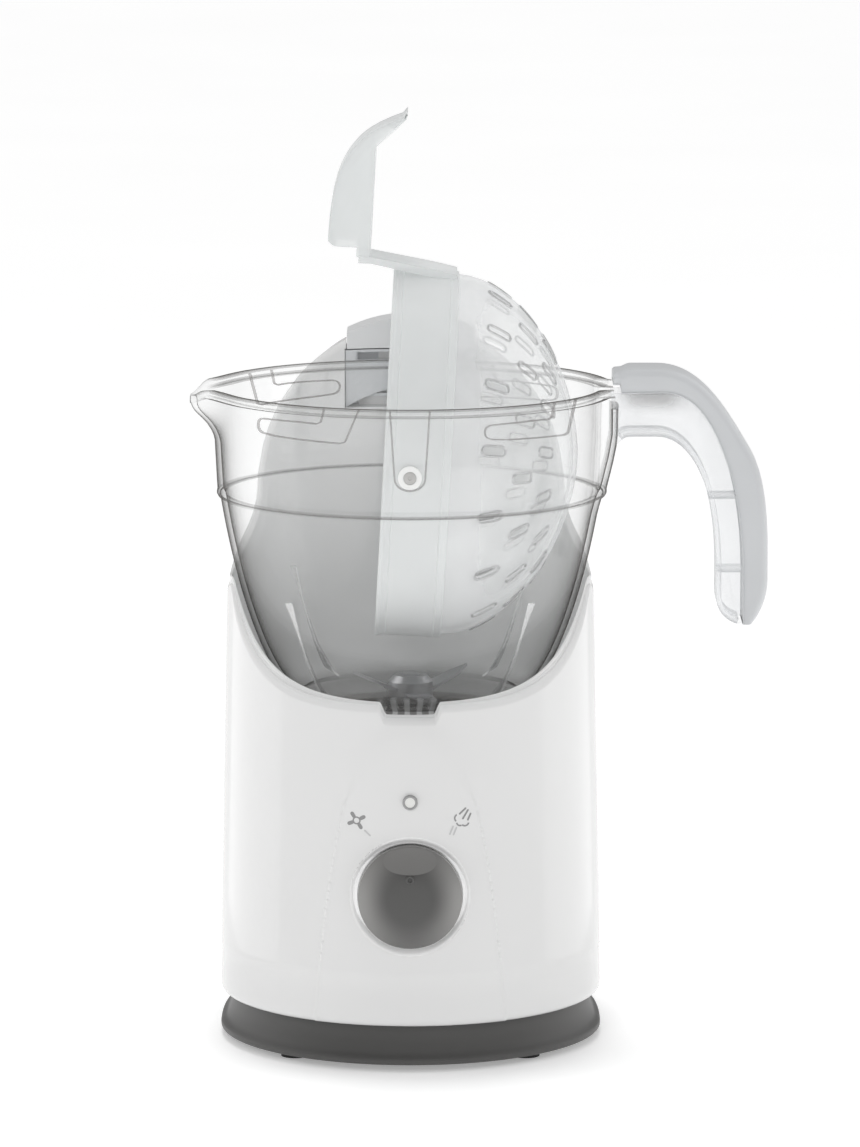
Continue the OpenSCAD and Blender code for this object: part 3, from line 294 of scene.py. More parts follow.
def make_finishes(p):
    """The finishes by name, from the colours in the panel."""
    white, dark, pale = p.shell_colour, p.dark_colour, p.pale_colour
    FINISHES.update(
        white_shell=shell_white(white),
        dark_satin=moulded(dark, 0.46, 2200, 0.04, shade=0.05),
        knob_satin=turned_satin(dark),
        pale_grey=moulded(pale, 0.3, 1800, 0.04, shade=0.02),
        icon_grey=moulded(0.26, 0.4),
        tick_grey=moulded(0.5, 0.4),
        ring_grey=moulded(0.3, 0.16, coat=0.4),
        inner_white=moulded((0.8, 0.8, 0.78), 0.4),
        board_green=moulded((0.03, 0.18, 0.09), 0.35),
        black_rubber=moulded(0.02, 0.62, 1500, 0.06, 0.0, 0.1, 0.00005),
        clear_jug=clear((0.994, 0.995, 0.995), (0.13, 0.125, 0.12), 1.4, 0.004, lines=jug_lines),
        clear_line=clear(0.99, (0.17, 0.155, 0.15), 0.7, 0.32),
        slot_line=clear(0.99, 0.2, 1.0, 0.3, gloss=0.2),
        clear_rib=clear(0.995, 0.72, 0.8, 0.3, gloss=0.12),
        clear_handle=clear((0.99, 0.992, 0.994), (0.72, 0.725, 0.735), 0.7, 0.1, lines=handle_shade),
        seat_grey=moulded((0.13, 0.13, 0.128), 0.34, 2200, 0.05),
        clear_basket=clear((0.992, 0.994, 0.994), (0.82, 0.825, 0.83), 0.7, 0.03, 0.06, 0.04,
                           lines=lambda f, x, y, z: ((1 - x.between(0.012, 0.07)) * 0.28, 0.0)),
        lamp_lens=moulded((0.74, 0.74, 0.72), 0.25, 900, 0.02, 0.3),
        frosted=frosted(p.frost_colour, 0.48),
        shoe_white=moulded((0.82, 0.82, 0.81), 0.3),
        pin_grey=moulded((0.44, 0.43, 0.42), 0.3),
        lid_grey=moulded((0.68, 0.685, 0.69), 0.3, 1800, 0.04, shade=0.02),
        steel=metal((0.62, 0.62, 0.63), 0.3),
        cast_alloy=metal((0.66, 0.67, 0.68), 0.42, (1, 1, 1), 700),
        copper_parts=metal((0.72, 0.42, 0.22), 0.33, (1, 1, 30), 200),
    )
    for name, material in FINISHES.items():
        material.name = name


# Meshes


def net(rows, cols, closed=False):
    """Quads of a grid of points. Each row is a ring; closed joins the last to the first."""
    a, b = np.meshgrid(np.arange(rows if closed else rows - 1), np.arange(cols), indexing="ij")
    up, over = (a + 1) % rows, (b + 1) % cols
    return coords(a * cols + b, a * cols + over, up * cols + over, up * cols + b).reshape(-1, 4).tolist()


def add(name, data):
    """A new object in the scene."""
    made = bpy.data.objects.new(name, data)
    bpy.context.scene.collection.objects.link(made)
    return made


def smooth(mesh, crease):
    """Smooth faces, with sharp edges where they meet at more than the crease."""
    mesh.polygons.foreach_set("use_smooth", np.ones(len(mesh.polygons), bool))
    mesh.set_sharp_from_angle(angle=math.radians(crease))


def sheet(grid):
    """A closed grid, its last row joined to its first, with its quads."""
    return grid, net(*grid.shape[:2], closed=True)


def capped(rows, cols):
    """Quads of a tube of rings, with a face over each end."""
    return net(rows, cols) + [list(range(cols)), list(range((rows - 1) * cols, rows * cols))]


def flat(points):
    """The points of any grid as rows of three."""
    return np.asarray(points, float).reshape(-1, 3)


def piece(name, points, faces, finish, body, node=None, slot=None, crease=38.0):
    """A closed mesh from points in millimetres, welded, turned outwards and riding on a body."""
    mesh = bpy.data.meshes.new(name)
    mesh.from_pydata(flat(points) * MM, [], faces)
    work = bmesh.new()
    work.from_mesh(mesh)
    bmesh.ops.remove_doubles(work, verts=work.verts, dist=1e-7)
    bmesh.ops.dissolve_degenerate(work, edges=work.edges, dist=1e-8)
    bmesh.ops.recalc_face_normals(work, faces=work.faces)
    work.to_mesh(mesh)
    work.free()
    smooth(mesh, crease)
    made = add(name, mesh)
    mesh.materials.append(FINISHES[finish])
    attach(made, body)
    if node:
        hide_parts(node)
    return made


def join(*parts):
    """Points and faces of several meshes as one."""
    points, faces, base = [], [], 0
    for p, f in parts:
        points.append(flat(p))
        faces += [[i + base for i in face] for face in f]
        base += len(points[-1])
    return vstack(points), faces


def polar(r, a, z):
    """Points from radius, angle and height."""
    return coords(r * cos(a), r * sin(a), z + 0 * a)


def coords(*parts):
    """Coordinates side by side as points."""
    return np.stack(parts, -1)


def turn(count):
    return linspace(0, 2 * pi, count, endpoint=False)


def bezier(a, b, c, d, count, *more):
    """Cubic curve: the four points weighted by the cubic Bernstein terms. It goes on from its end
    with the three points and the count of the next one."""
    t = linspace(0, 1, count)[:, None]
    a, b, c, d = (np.array(q, float) for q in (a, b, c, d))
    line = (1 - t) ** 3 * a + 3 * (1 - t) ** 2 * t * b + 3 * (1 - t) * t * t * c + t ** 3 * d
    return vstack([line, bezier(d, *more)[1:]]) if more else line


def ease(x, low, high):
    """Smooth step from 0 at low to 1 at high: 3t² - 2t³."""
    t = np.clip((np.asarray(x, float) - low) / (high - low), 0, 1)
    return t * t * (3 - 2 * t)


def lower(a, b, k):
    """The lower of two surfaces, with the corner between them rounded over k."""
    h = np.clip(0.5 + 0.5 * (a - b) / k, 0, 1)
    return a * (1 - h) + b * h - k * h * (1 - h)


def resample(line, count, closed=False):
    """The line again with its points evenly spaced along its length."""
    line = np.asarray(line, float)
    if closed:
        line = vstack([line, line[:1]])
    run = np.r_[0, np.cumsum(np.linalg.norm(np.diff(line, axis=0), axis=1))]
    at = linspace(0, run[-1], count, endpoint=not closed)
    return np.stack([np.interp(at, run, line[:, k]) for k in (0, 1)], -1)


def right_of(line):
    """Unit vectors to the right of an open line at each of its points."""
    step = np.gradient(line, axis=0)
    step /= np.linalg.norm(step, axis=1, keepdims=True)
    return coords(step[:, 1], -step[:, 0])


def moved_in(line, distance):
    """A closed outline moved inwards along its own normals; outwards if the distance is negative."""
    step = np.roll(line, -1, 0) - np.roll(line, 1, 0)
    step /= np.maximum(np.linalg.norm(step, axis=1, keepdims=True), 1e-9)
    area = np.sum(line[:, 0] * np.roll(line[:, 1], -1) - np.roll(line[:, 0], -1) * line[:, 1])
    normal = coords(-step[:, 1], step[:, 0]) * (1 if area > 0 else -1)
    return line + normal * distance


def slab(outline, y1, y2, roll, steps=4):
    """Plate between y1 and y2 with an outline in X and Z and quarter rounds at its edges."""
    turns = linspace(0, pi / 2, steps + 1)
    rings = [(roll * (1 - sin(t)), y1 + roll * (1 - cos(t))) for t in turns]
    rings += [(roll * (1 - cos(t)), y2 - roll * (1 - sin(t))) for t in turns]
    points = np.stack([np.insert(moved_in(outline, d), 1, y, axis=1) for d, y in rings])
    return points.reshape(-1, 3), capped(len(rings), len(outline))


def tipped(points):
    """Turned about the basket's pivot from level to the pose at rest."""
    x, y, z = flat(points).T
    c, s = cos(TIP), sin(TIP)
    return coords(x * c - z * s, y, x * s + z * c + PIVOT_Z)


# Housing


def plan(r, a):
    """Radius of the housing's plan: a circle in front and a squared oval behind."""
    c, s = np.abs(cos(a)), np.clip(sin(a), 0, None)
    oval = ((c / r) ** SQUARE + (s / (r + REAR)) ** SQUARE) ** (-1 / SQUARE)
    return np.where(sin(a) <= 0, r, oval)


def wall(z):
    """Drafted radius of the housing at a height."""
    return FOOT_R - DRAFT * (z - FOOT_Z)


def lip_side():
    """Top edge seen from the side: a parabola from the front lip, then a steep rise."""
    y = linspace(-80, -8, 60)
    first = coords(y, LIP_Z + 0.0107 * (y + 80) ** 2)
    z0 = LIP_Z + 0.0107 * 72 ** 2
    rise = bezier((-8, z0), (6, z0 + 22), (30, TOWER_Z - 8), (52, TOWER_Z + 80), 60)[1:]
    return vstack([[-120, LIP_Z], first, rise])


SIDE = lip_side()
SHOULDER = bezier((80, 178), (80, 206), (64.5, 205), (TOWER_R, TOWER_Z), 80)


def top_edge(x, y):
    """Height of the shell's top: the lower of the side curve and the tower's round outline."""
    rise = np.interp(y, SIDE[:, 0], SIDE[:, 1])
    ax = np.abs(x)
    arc = TOWER_Z + np.sqrt(np.clip(TOWER_R ** 2 - ax ** 2, 0, None))
    side = np.interp(-ax, -SHOULDER[:, 0], SHOULDER[:, 1])
    return lower(np.where(ax < TOWER_R, arc, side), rise, 5.0)


BOWL = bezier((COLLAR_R, 147), (60, 150), (74, 190), (81, STEP_Z), 60)


def jug_outer(z):
    """Outer radius of the jug at a height."""
    return np.interp(z, np.r_[124, BOWL[:, 1], 235, 255, 276.6, 300],
                     np.r_[COLLAR_R, BOWL[:, 0], 82, 83, RIM_WALL, RIM_WALL])


WELL = vstack([bezier((57, 134), (66, 134.4), (71, 142), (72, LIP_Z), 24,
                      (73.2, 173.5), (73.5, 181.5), (76.2, 200), 24),
               [[jug_outer(z) + WELL_GAP, z] for z in np.arange(208, 272.6, 2.0)],
               [[LIFT_R, 273.5], [LIFT_R, 340]]])


def well(z):
    """Radius of the well that the jug sits in."""
    return np.interp(z, WELL[:, 1], WELL[:, 0])


def arch_line():
    """Outline of the raised front panel: a tall arch."""
    half = bezier((40.5, 10), (36.5, 62), (32, 98), (24.5, 122), 60,
                  (20, 135), (12, PANEL_TOP), (0, PANEL_TOP), 30)
    return vstack([half, half[::-1][1:] * [-1, 1]])


def shell_columns():
    """Angles round the shell, close together across the front panel."""
    front = np.arcsin(np.arange(-45, 45.01, 0.5) / 82) - pi / 2
    rest = linspace(front[-1], front[0] + 2 * pi, 208)[1:-1]
    return np.r_[front, rest]


def housing_grid():
    """The shell as one closed grid, column by angle: rolled lower edge, outer wall with the arch and
    the knob's dish pressed in, rolled lip, well wall, and the inside back down to the lower edge."""
    a = shell_columns()
    zs = np.arange(150, 320, 0.5)[:, None]
    gap = plan(wall(zs), a) - well(zs)
    thin = 1.5
    limit = np.where(gap >= thin, zs, 0).max(0)

    h_out, h_in = np.full((2, len(a)), 200.0)
    for _ in range(60):
        r = plan(wall(h_out), a)
        h_out += 0.5 * (top_edge(r * cos(a), r * sin(a)) - h_out)
        r = well(h_in)
        h_in += 0.5 * (top_edge(r * cos(a), r * sin(a)) - h_in)
    h_out, h_in = np.minimum(h_out, limit), np.minimum(h_in, limit)
    x = plan(wall(h_out), a) * cos(a)
    notch = 5.2 * (1 - ease(np.abs(x), 10.3, 13.5)) * (sin(a) < 0)
    h_out, h_in = h_out - notch, h_in - notch

    r_out, r_in = plan(wall(h_out), a), well(h_in)
    width = np.maximum(r_out - r_in, thin)
    r_in = r_out - width
    roll = np.clip(0.46 * width, 0.6, 3.2)

    rows = []
    heights = [(FOOT_Z, 2.6), (19.7, 1.6), (20.3, 0.8), (21.4, 0.25)]
    heights += [(z, 0.0) for z in np.r_[23, 28, 34, 39.4, 40, 43, np.arange(45, 106, 0.6),
                                        np.arange(106.4, 146.5, 1.1)]]
    for z, d in heights:
        step = 0.22 if z < 39.7 else 0.0  # the fine step round the foot
        rows.append((plan(wall(z) - d - step, a), z))
    low, high = 146.6, h_out - roll
    for t in linspace(0, 1, 26)[1:]:
        z = low + (high - low) * t
        rows.append((plan(wall(z), a), z))
    for t in linspace(0, pi / 2, 7)[1:]:
        rows.append((r_out - roll * (1 - cos(t)), h_out - roll * (1 - sin(t))))
    for t in (0.25, 0.5, 0.75):
        inset = roll + (width - 2 * roll) * t
        rows.append((r_out - inset, h_out + (h_in - h_out) * inset / width))
    for t in linspace(pi / 2, 0, 7):
        rows.append((r_in + roll * (1 - cos(t)), h_in - roll * (1 - sin(t))))
    start = h_in - roll
    for t in linspace(0, 1, 24)[1:]:
        z = start + (134.0 - start) * t
        rows.append((np.minimum(well(z), r_in), z))
    rows += [(57, 131), (plan(wall(131) - 8, a), 131), (plan(wall(120) - 3, a), 118),
             (plan(wall(22) - 3, a), 21)]
    r, z = (np.stack([row + 0 * a for row in part]) for part in zip(*rows))
    x, y = r * cos(a), r * sin(a)
    outer = slice(0, len(heights) + 25)
    x[outer], y[outer] = pressed(x[outer], y[outer], z[outer])
    return coords(x, y, z)


def pressed(x, y, z):
    """Front details on the outer wall: the panel stands out, the dish round the knob sinks in."""
    line = arch_line()
    front = (y < -40) & (z < 152)
    px, pz = x[front], z[front]
    gap = np.sqrt(((px[:, None] - line[None, :, 0]) ** 2 + (pz[:, None] - line[None, :, 1]) ** 2).min(1))
    half = np.interp(pz, line[:89, 1], line[:89, 0])
    inside = (np.abs(px) < half) & (pz < PANEL_TOP)
    spread = 1 + 8 * ease(pz, 112, 132)
    depth = np.where(inside, gap, -gap)
    push = PANEL_OUT * ease(depth, -0.9 * spread, 0.7 * spread)
    ridge = 0.34 * np.exp(-(depth / 0.95 / spread) ** 2) / spread
    r = np.hypot(px, y[front])
    x, y = x.copy(), y.copy()
    scale = (r + push + ridge) / r
    x[front], y[front] = px * scale, y[front] * scale
    d = np.hypot(x, z - KNOB_Z)
    sink = 5.0 * (1 - ease(d, 23.6, 24.9))
    y = np.where((y < 0) & (d < 26), np.minimum(y + sink, -76.6), y)
    return x, y


def dish():
    """The round dish the knob turns in, a ring laid on the panel, by distance from the knob's axis
    and depth. Its outer edge dips just under the panel."""
    a = turn(240)
    rows = []
    for d, down in ((25.7, 0.25), (25.45, 0.03), (25.2, 0.02), (25.0, 0.06), (24.7, 0.18), (24.4, 0.4),
                    (24.1, 0.7), (23.8, 1.05), (23.5, 1.4), (23.2, 1.72), (22.9, 1.95), (22.6, 2.08),
                    (22.3, 2.12), (22.15, 2.3), (22.1, 3.4)):
        x, z = d * cos(a), d * sin(a)
        panel = np.sqrt((wall(z + KNOB_Z) + PANEL_OUT) ** 2 - x * x)
        rows.append(coords(x, down - panel, z + KNOB_Z))
    inner = rows[-1] * [1, 0, 1] + [0, -77.2, 0]
    outer = rows[0] + [0, 1.5, 0]
    return sheet(np.stack([*rows, inner, outer]))


# Jug


def jug_grid():
    """The bowl as one closed grid, row by height: collar, bowl, step ring, rim bead, inside and floor.
    The spout pushes the rows out by a line's distance from the axis, r = d / (a cos + b sin), and the
    bulge behind the lever pushes them out by a smooth step in the angle."""
    a = turn(336)
    rows = [(44.1, 124.0), (45.9, 124.0)]
    rows += [(COLLAR_R, z) for z in (124.6, 134.4, 134.6, 137, 140, 143, 145.6, 145.9)]
    rows += resample(BOWL, 44).tolist()
    rows += [(81.2, 233.2), (81.9, 233.6), (82.3, STEP_Z), (82.2, 235.2), (82.0, 235.8)]
    rows += [(jug_outer(z), z) for z in (240, 247, 254, 257, 259, 261, 264, 267, 270, 272, 274, 275.6)]
    rows += [(83.9, 276.4), (86.2, 276.6), (86.8, 277.0), (87.0, 277.8), (87.0, 278.8), (86.8, 279.5),
             (86.1, 279.95), (84.5, 280.0), (82.2, 280.0), (81.5, 279.8), (81.1, 279.3)]
    rows += [(INNER_R, z) for z in (278, 276, 274, 272, 270, 267, 264, 261, 259)]
    rows += [(80.7, 256), (80.4, 250), (80.0, 243), (79.6, 236.5), (78.7, 234.6)]
    inner = resample(BOWL, 44)[::-1]
    inner = inner + right_of(inner) * BOWL_WALL
    rows += [q for q in inner.tolist() if 148 < q[1] < 233]
    rows += [(50, 146.2), (46, 143.6), (43, 141.8), (41, 141.1), (38, 141), (20, 141), (7.4, 141),
             (7.4, 138), (43.0, 138), (44.1, 137)]
    r, z = (np.array(line)[:, None] + 0 * a for line in zip(*rows))
    on_collar = (r > 46) & (r < 47) & (z > 134.5) & (z < 145.7)
    r = r + 0.35 * on_collar * ease(cos(36 * a), 0.2, 0.7)
    upper = r > 75
    ramp = ease(z, 256, 277) * upper
    phi = np.abs(a - pi)
    line = 82.4 / np.maximum(0.868 * cos(phi) + 0.499 * sin(phi), 0.3)
    out = np.where(phi < 0.6, np.logaddexp(0, (line - RIM_WALL) * 1.4) / 1.4, 0)
    bead = np.clip(r - RIM_WALL, 0, None) * (1 - 0.9 * (1 - ease(phi, 0.0, 0.26)))
    r = np.where(r > RIM_WALL, RIM_WALL + bead, r) + np.minimum(out, SPOUT_OUT) * ramp
    z = z - 4.6 * (1 - ease(phi, 0.0, 0.24)) * ease(z, 262, 279) * upper
    side = np.minimum(a, 2 * pi - a)
    swell = (1 - ease(np.degrees(side), 11.2, 13.6)) * ease(z, 223, 261) * upper
    r = np.where(r > RIM_WALL, np.maximum(r, RIM_WALL + SWELL * swell), r + SWELL * swell)
    y = np.abs(r * sin(a))
    gate = (1 - ease(y, 16.0, 17.0)) * (cos(a) > 0)
    z = np.where(z > 271, z + (271 + (z - 271) * 0.02 - z) * gate, z)
    return polar(r, a, z)


def at_rim(*lines):
    """Lines in X and Z given from the rim's edge, as one."""
    return vstack(lines) + [RIM_R, RIM_Z]


# The handle's lines, out along the rim and down: fingers' side, parting line of the cover, and back
FINGER = at_rim([[0.0, -24.6]], bezier((2.5, -22.4), (3.6, -21.2), (4.6, -21), (6.1, -21), 6),
                bezier((17.5, -21), (29, -21), (38, -35), (41.1, -55.5), 20,
                       (42.4, -63), (42.8, -72), (42.8, -80), 8),
                bezier((42.8, -89.4), (42.8, -95), (46, -99.5), (51.7, -101.2), 10))
PARTING = at_rim([[-2, -2.6]], bezier((20, -2.2), (35, -2.2), (43, -18), (49.2, -39.1), 20,
                                      (52, -50), (54.1, -65), (54.1, -80.5), 10), [[54.1, -101.2]])
OUTER = at_rim([[-1.3, 5.4], [-0.5, 6.2], [2.4, 6.7], [5.5, 8.1]],
               bezier((17.7, 8.1), (37, 8.1), (48, -12), (58.5, -29.8), 20,
                      (62.5, -37), (64.7, -52), (64.7, -70), 10),
               bezier((64.7, -82.6), (64.7, -90), (61.5, -97.5), (57.6, -101.2), 10))


def mirrored(part):
    """A mesh and its mirror image in Y, as one."""
    points, faces = part
    points = flat(points)
    return join((points, faces), (points * [1, -1, 1], faces))


def strip(line, thick, y1, y2, roll=0.4):
    """Plate that follows a line in X and Z, its other side moved in by its thickness."""
    line = resample(line, 70)
    other = line + right_of(line) * thick
    return slab(vstack([line, other[::-1]]), y1, y2, min(roll, abs(thick) * 0.45), 2)


def channel():
    """The clear half of the handle: a wall towards the fingers, two cheeks and the cross ribs."""
    outline = resample(vstack([FINGER, PARTING[::-1]]), 150, True)
    cheek = slab(outline, 8.8, 11.0, 0.7)
    ribs = [slab(np.array([[a, z - 0.45], [b, z - 0.45], [b, z + 0.45], [a, z + 0.45]]),
                 -9.4, 9.4, 0.2, 2) for a, b, z in ((126.5, 138.5, 232.7), (130.5, 140.6, 201.2))]
    return join(mirrored(cheek), strip(FINGER[1:], -2.2, -10.4, 10.4), *ribs)


def cover():
    """The handle's cover: stations along the handle from its parting line to its outer line, and at
    each a section with large rounds outside and small ones at the parting.
    Its lead over the rim starts higher, clear of the lever's plate when the basket is level."""
    lead = at_rim([(-1.3, 1.3), (1.8, 1.2), (2.2, -2.5)])
    inner = vstack([resample(lead, 9)[:-1], resample(vstack([lead[-1:], PARTING[1:]]), 112)])
    outer = vstack([resample(OUTER[:3], 9)[:-1], resample(OUTER[2:], 112)])
    thick = np.linalg.norm(outer - inner, axis=1)[:, None]
    big, small = np.clip(0.42 * thick, 0.3, 3.4), np.clip(0.2 * thick, 0.1, 0.5)
    t = linspace(0, pi / 2, 7)
    depth = np.hstack([small * (1 - cos(t))[::-1], thick - big * (1 - sin(t))])
    across = COVER_HALF - np.hstack([small * (1 - sin(t))[::-1], big * (1 - cos(t))])
    depth, across = np.hstack([depth, depth[:, ::-1]]), np.hstack([across, -across[:, ::-1]])
    along = (outer - inner) / thick
    x = inner[:, :1] + along[:, :1] * depth
    z = inner[:, 1:] + along[:, 1:] * depth
    return coords(x, across, z), capped(*depth.shape)


def wall_line(path, thick, r1, r2, count=80):
    """Rib along a path on the jug's wall, given as (distance east of south round the wall, height)
    and moved by half the thickness to either side."""
    path = resample(path, count)
    side = right_of(path) * thick / 2
    rings = []
    for s, r in ((1, r1), (1, r2), (-1, r2), (-1, r1)):
        q = path + s * side
        a = q[:, 0] / INNER_R
        rings.append(coords(r * sin(a), -r * cos(a), q[:, 1]))
    return np.stack(rings, 1), capped(count, 4)


def guides():
    """The two U shaped guides for the basket's pivots, standing in from the wall."""
    path = vstack([[(-8.3, 279), (-6.4, PIVOT_Z)],
                   bezier((-6.2, 249.6), (-4.4, 244.6), (4.4, 244.6), (6.2, 249.6), 12),
                   [(6.4, PIVOT_Z), (8.3, 279)]])
    return mirrored(wall_line(path, 0.6, 79.7, 81.2))


def bayonets():
    """The four bayonet tracks in the rim: a closed pocket with a round end and a slanted way in."""
    lower = vstack([[[-50, 272.8], [-70, 272.4]],
                    bezier((-70, 272.4), (-74.4, 272.2), (-74.4, 267), (-70, 266.4), 10),
                    [[-62, 265.8], [-30, 265.0], [-27.5, 265.6], [-21.4, 279.4]]])
    upper = np.array([[-50, 272.8], [-40.5, 272.6], [-38.6, 273.4], [-36.8, 279.4]])
    return join(*[wall_line(path + [math.radians(turned) * INNER_R, 0], 0.5, 79.9, 81.2, 110)
                  for turned in (0.0, 74.4, 180.0, 254.4) for path in (lower, upper)])


def fins():
    """Four thin pointed ribs on the bowl's wall, an outline in radius and height."""
    outer = np.array([[jug_outer(z) - 1.6, z] for z in linspace(152, 194, 20)])
    outline = vstack([outer, bezier((73.0, 194), (68.5, 186), (63, 174), (60.5, 166), 12,
                                    (56.5, 160), (52, 154), (44, 149), 8)])
    points, faces = slab(resample(outline, 90, True), -0.7, 0.7, 0.3, 2)
    x, y, z = points.T
    parts = []
    for turned in np.radians([45, 135, 225, 315]):
        c, s = cos(turned), sin(turned)
        parts.append((coords(x * c - y * s, x * s + y * c, z), faces))
    return join(*parts)


# Controls


def knob_grid():
    """Face of the knob over rings round its axis: a domed disc that falls off as a power of the
    radius, a rolled edge, and two finger scoops, each a cylinder's surface with a soft corner."""
    r = np.r_[0.01, np.arange(0.6, 21.1, 0.5), 21.2, 21.4, 21.58, 21.7, 21.77, KNOB_R]
    a = turn(192)
    rr = r[:, None]
    x, z = rr * cos(a), rr * sin(a)
    face = KNOB_FRONT - 1000 * DOME_FALL * np.clip(rr / 1000 / DISC_R, 0, 1) ** 2.6 + 0 * a
    for centre, radius, high in ((24.0, 30.0, 113.01), (-27.0, 20.0, 102.2)):
        scoop = high - np.sqrt(np.clip(radius ** 2 - (z - centre) ** 2, 0, None))
        face = lower(scoop, face, 0.12)
    face = face - 0.6 * (1 - np.sqrt(np.clip(1 - (np.clip(rr - 21.2, 0, 0.6) / 0.6) ** 2, 0, 1)))
    rows = [coords(x, -face, z + KNOB_Z)]
    for q, y in ((KNOB_R, 81.5), (KNOB_R, 77.6), (21.5, 77.35), (0.01, 77.35)):
        rows.append(coords(q * cos(a), 0 * a - y, q * sin(a) + KNOB_Z)[None])
    return vstack(rows)


def ring_y(z0, r1, r2, y1, y2, roll):
    """Ring about an axis along Y with rounded corners; y1 is the seat and y2 the front."""
    t = linspace(0, pi / 2, 4)
    c, s = roll * (1 - cos(t)), roll * (1 - sin(t))
    section = vstack([[(r1, y1)], coords(r1 + c, y2 + s), coords(r2 - s, y2 + c),
                      [(r2, y1)]])
    a = turn(64)
    r, y = section[:, :1], section[:, 1:]
    return sheet(coords(r * cos(a), y + 0 * a, z0 + r * sin(a)))


def printed(outline, high=0.07):
    """Thin pad on the front panel: an outline in X and Z laid on the wall's radius."""
    outline = np.asarray(outline, float)
    x, z = outline.T
    rings = [coords(x, -np.sqrt((wall(z) + d) ** 2 - x * x), z) for d in (0.3, PANEL_OUT + high)]
    return vstack(rings), capped(2, len(x))


def bar(x1, z1, x2, z2, thick):
    """Outline of a bar with round ends between two points."""
    t = linspace(-pi / 2, pi / 2, 7) + math.atan2(z2 - z1, x2 - x1)
    end = thick / 2 * coords(cos(t), sin(t))
    return vstack([(x2, z2) + end, (x1, z1) - end])


def arc_band(x, z, r, thick, a1, a2):
    """Outline of a curved bar."""
    t = np.radians(linspace(a1, a2, 22))
    ray = coords(cos(t), sin(t))
    return vstack([(x, z) + (r + thick / 2) * ray, ((x, z) + (r - thick / 2) * ray)[::-1]])


def marks():
    """The two marks beside the knob: a four bladed blend mark and a steam cloud."""
    x, z = -22.3, 106.8
    shapes = []
    for turned in np.radians([123, 28, -58, 204]):
        c, s = cos(turned), sin(turned)
        shapes.append(bar(x + 2.1 * c, z + 2.1 * s, x + 3.4 * c, z + 3.4 * s, 1.55))
    shapes += [arc_band(x, z, 1.4, 0.6, 0, 179), arc_band(x, z, 1.4, 0.6, 180, 359)]
    shapes += [bar(20.7, 109.7, 23.1, 111.9, 0.75), bar(22.0, 107.6, 24.1, 111.1, 0.75),
               bar(24.1, 107.0, 25.2, 109.5, 0.75)]
    shapes += [arc_band(20.3, 107.9, 1.7, 0.65, 120, 230), arc_band(20.9, 106.2, 1.5, 0.65, 190, 290),
               arc_band(22.9, 106.0, 1.5, 0.65, 220, 350)]
    return join(*[printed(s) for s in shapes])


def ticks():
    """The paler ticks between the marks and the knob: one for blending and two for steam."""
    lines = ((-18.9, 102.7, -16.7, 100.7), (16.6, 101.3, 17.9, 104.4), (18.1, 101.0, 19.3, 103.9))
    return join(*[printed(bar(*line, 0.7)) for line in lines])


# Basket


def band_parts():
    """The frosted band: a section turned about the level axis, with a rolled top bead and edges."""
    section = np.array([
        (75.9, 10.9), (75.9, 7.0), (75.6, 6.7), (75.9, 6.4), (75.9, -12.6), (75.6, -12.9), (75.9, -13.2),
        (75.9, -13.6), (75.3, -14.6), (75.3, -16.3), (75.6, -16.6), (77.5, -16.6), (77.9, -16.2),
        (77.9, -13.6), (77.55, -13.3), (77.9, -13.0), (77.9, 6.6), (77.55, 6.9), (77.9, 7.2), (77.9, 8.8),
        (78.2, 9.2), (78.5, 9.6), (78.5, 10.4), (78.3, 10.9), (78.0, 11.2), (76.3, 11.2)])
    points, faces = sheet(polar(section[:, :1], turn(240), section[:, 1:]))
    return tipped(points), faces


def pins():
    """The two pins the basket turns on."""
    t = turn(32)
    rings = np.stack([coords(r * cos(t), 0 * t + y, r * sin(t))
                      for r, y in ((2.6, 77.5), (2.6, 79.3), (2.3, 79.5), (0.9, 79.5), (0.7, 79.2))])
    return mirrored((tipped(rings), capped(5, 32)))


# Back of the lever when level, in X and Z from the pivot
BACK = vstack([[[87.5, 27.4], [87.5, 37]], bezier((89.5, 39.6), (109, 39.6), (123, 38), (134, 26.7), 30,
                                                  (137.6, 22.6), (140.6, 17), (143, 10.9), 12)])


def lever_parts():
    """The lever, level: two cheeks, a skin over their backs, the neck and the plate on the band."""
    under = np.array([[145.4, 8.8], [142.4, 9.2], [130.3, 21.2], [83.4, 21.4], [83.4, 27.4]])
    cheek = slab(resample(vstack([BACK, under]), 170, True), LEVER_IN - 0.1, LEVER_OUT, 0.7, 3)
    skin = strip(BACK[1:], 1.6, -LEVER_IN - 0.2, LEVER_IN + 0.2, 0.3)
    tip = [[139.6, 17.2], [143.0, 10.9], [145.4, 8.8], [142.4, 9.2], [138.4, 14.0]]
    tab = slab(resample(tip, 40, True), -LEVER_OUT + 0.1, LEVER_OUT - 0.1, 0.12, 1)
    y = linspace(-LEVER_OUT + 0.15, LEVER_OUT - 0.15, 24)
    section = np.array([(78.6, -15.6), (79.6, -15.6), (81.4, -6), (85.2, 20.6), (85.3, 26.3),
                        (82.4, 26.4), (82.4, 20.8), (78.1, -5.0), (78.0, -15.4)])
    r, z = section.T[:, None]
    y = y[:, None]
    grid = coords(np.sqrt(r * r - y * y), y + 0 * r, z + 0 * y)
    parts = [mirrored(cheek), skin, tab, (grid, capped(24, len(section)))]
    return join(*[(tipped(p), f) for p, f in parts])


def dome_place(f):
    """Radius and height of the dome's surface at a share of its depth, a squared quarter oval."""
    a = math.radians(90 * f)
    c, s = cos(a), sin(a)
    return np.array([DOME_R * c ** 1.1, DOME_TOP - DOME_DEEP * s ** 1.1])


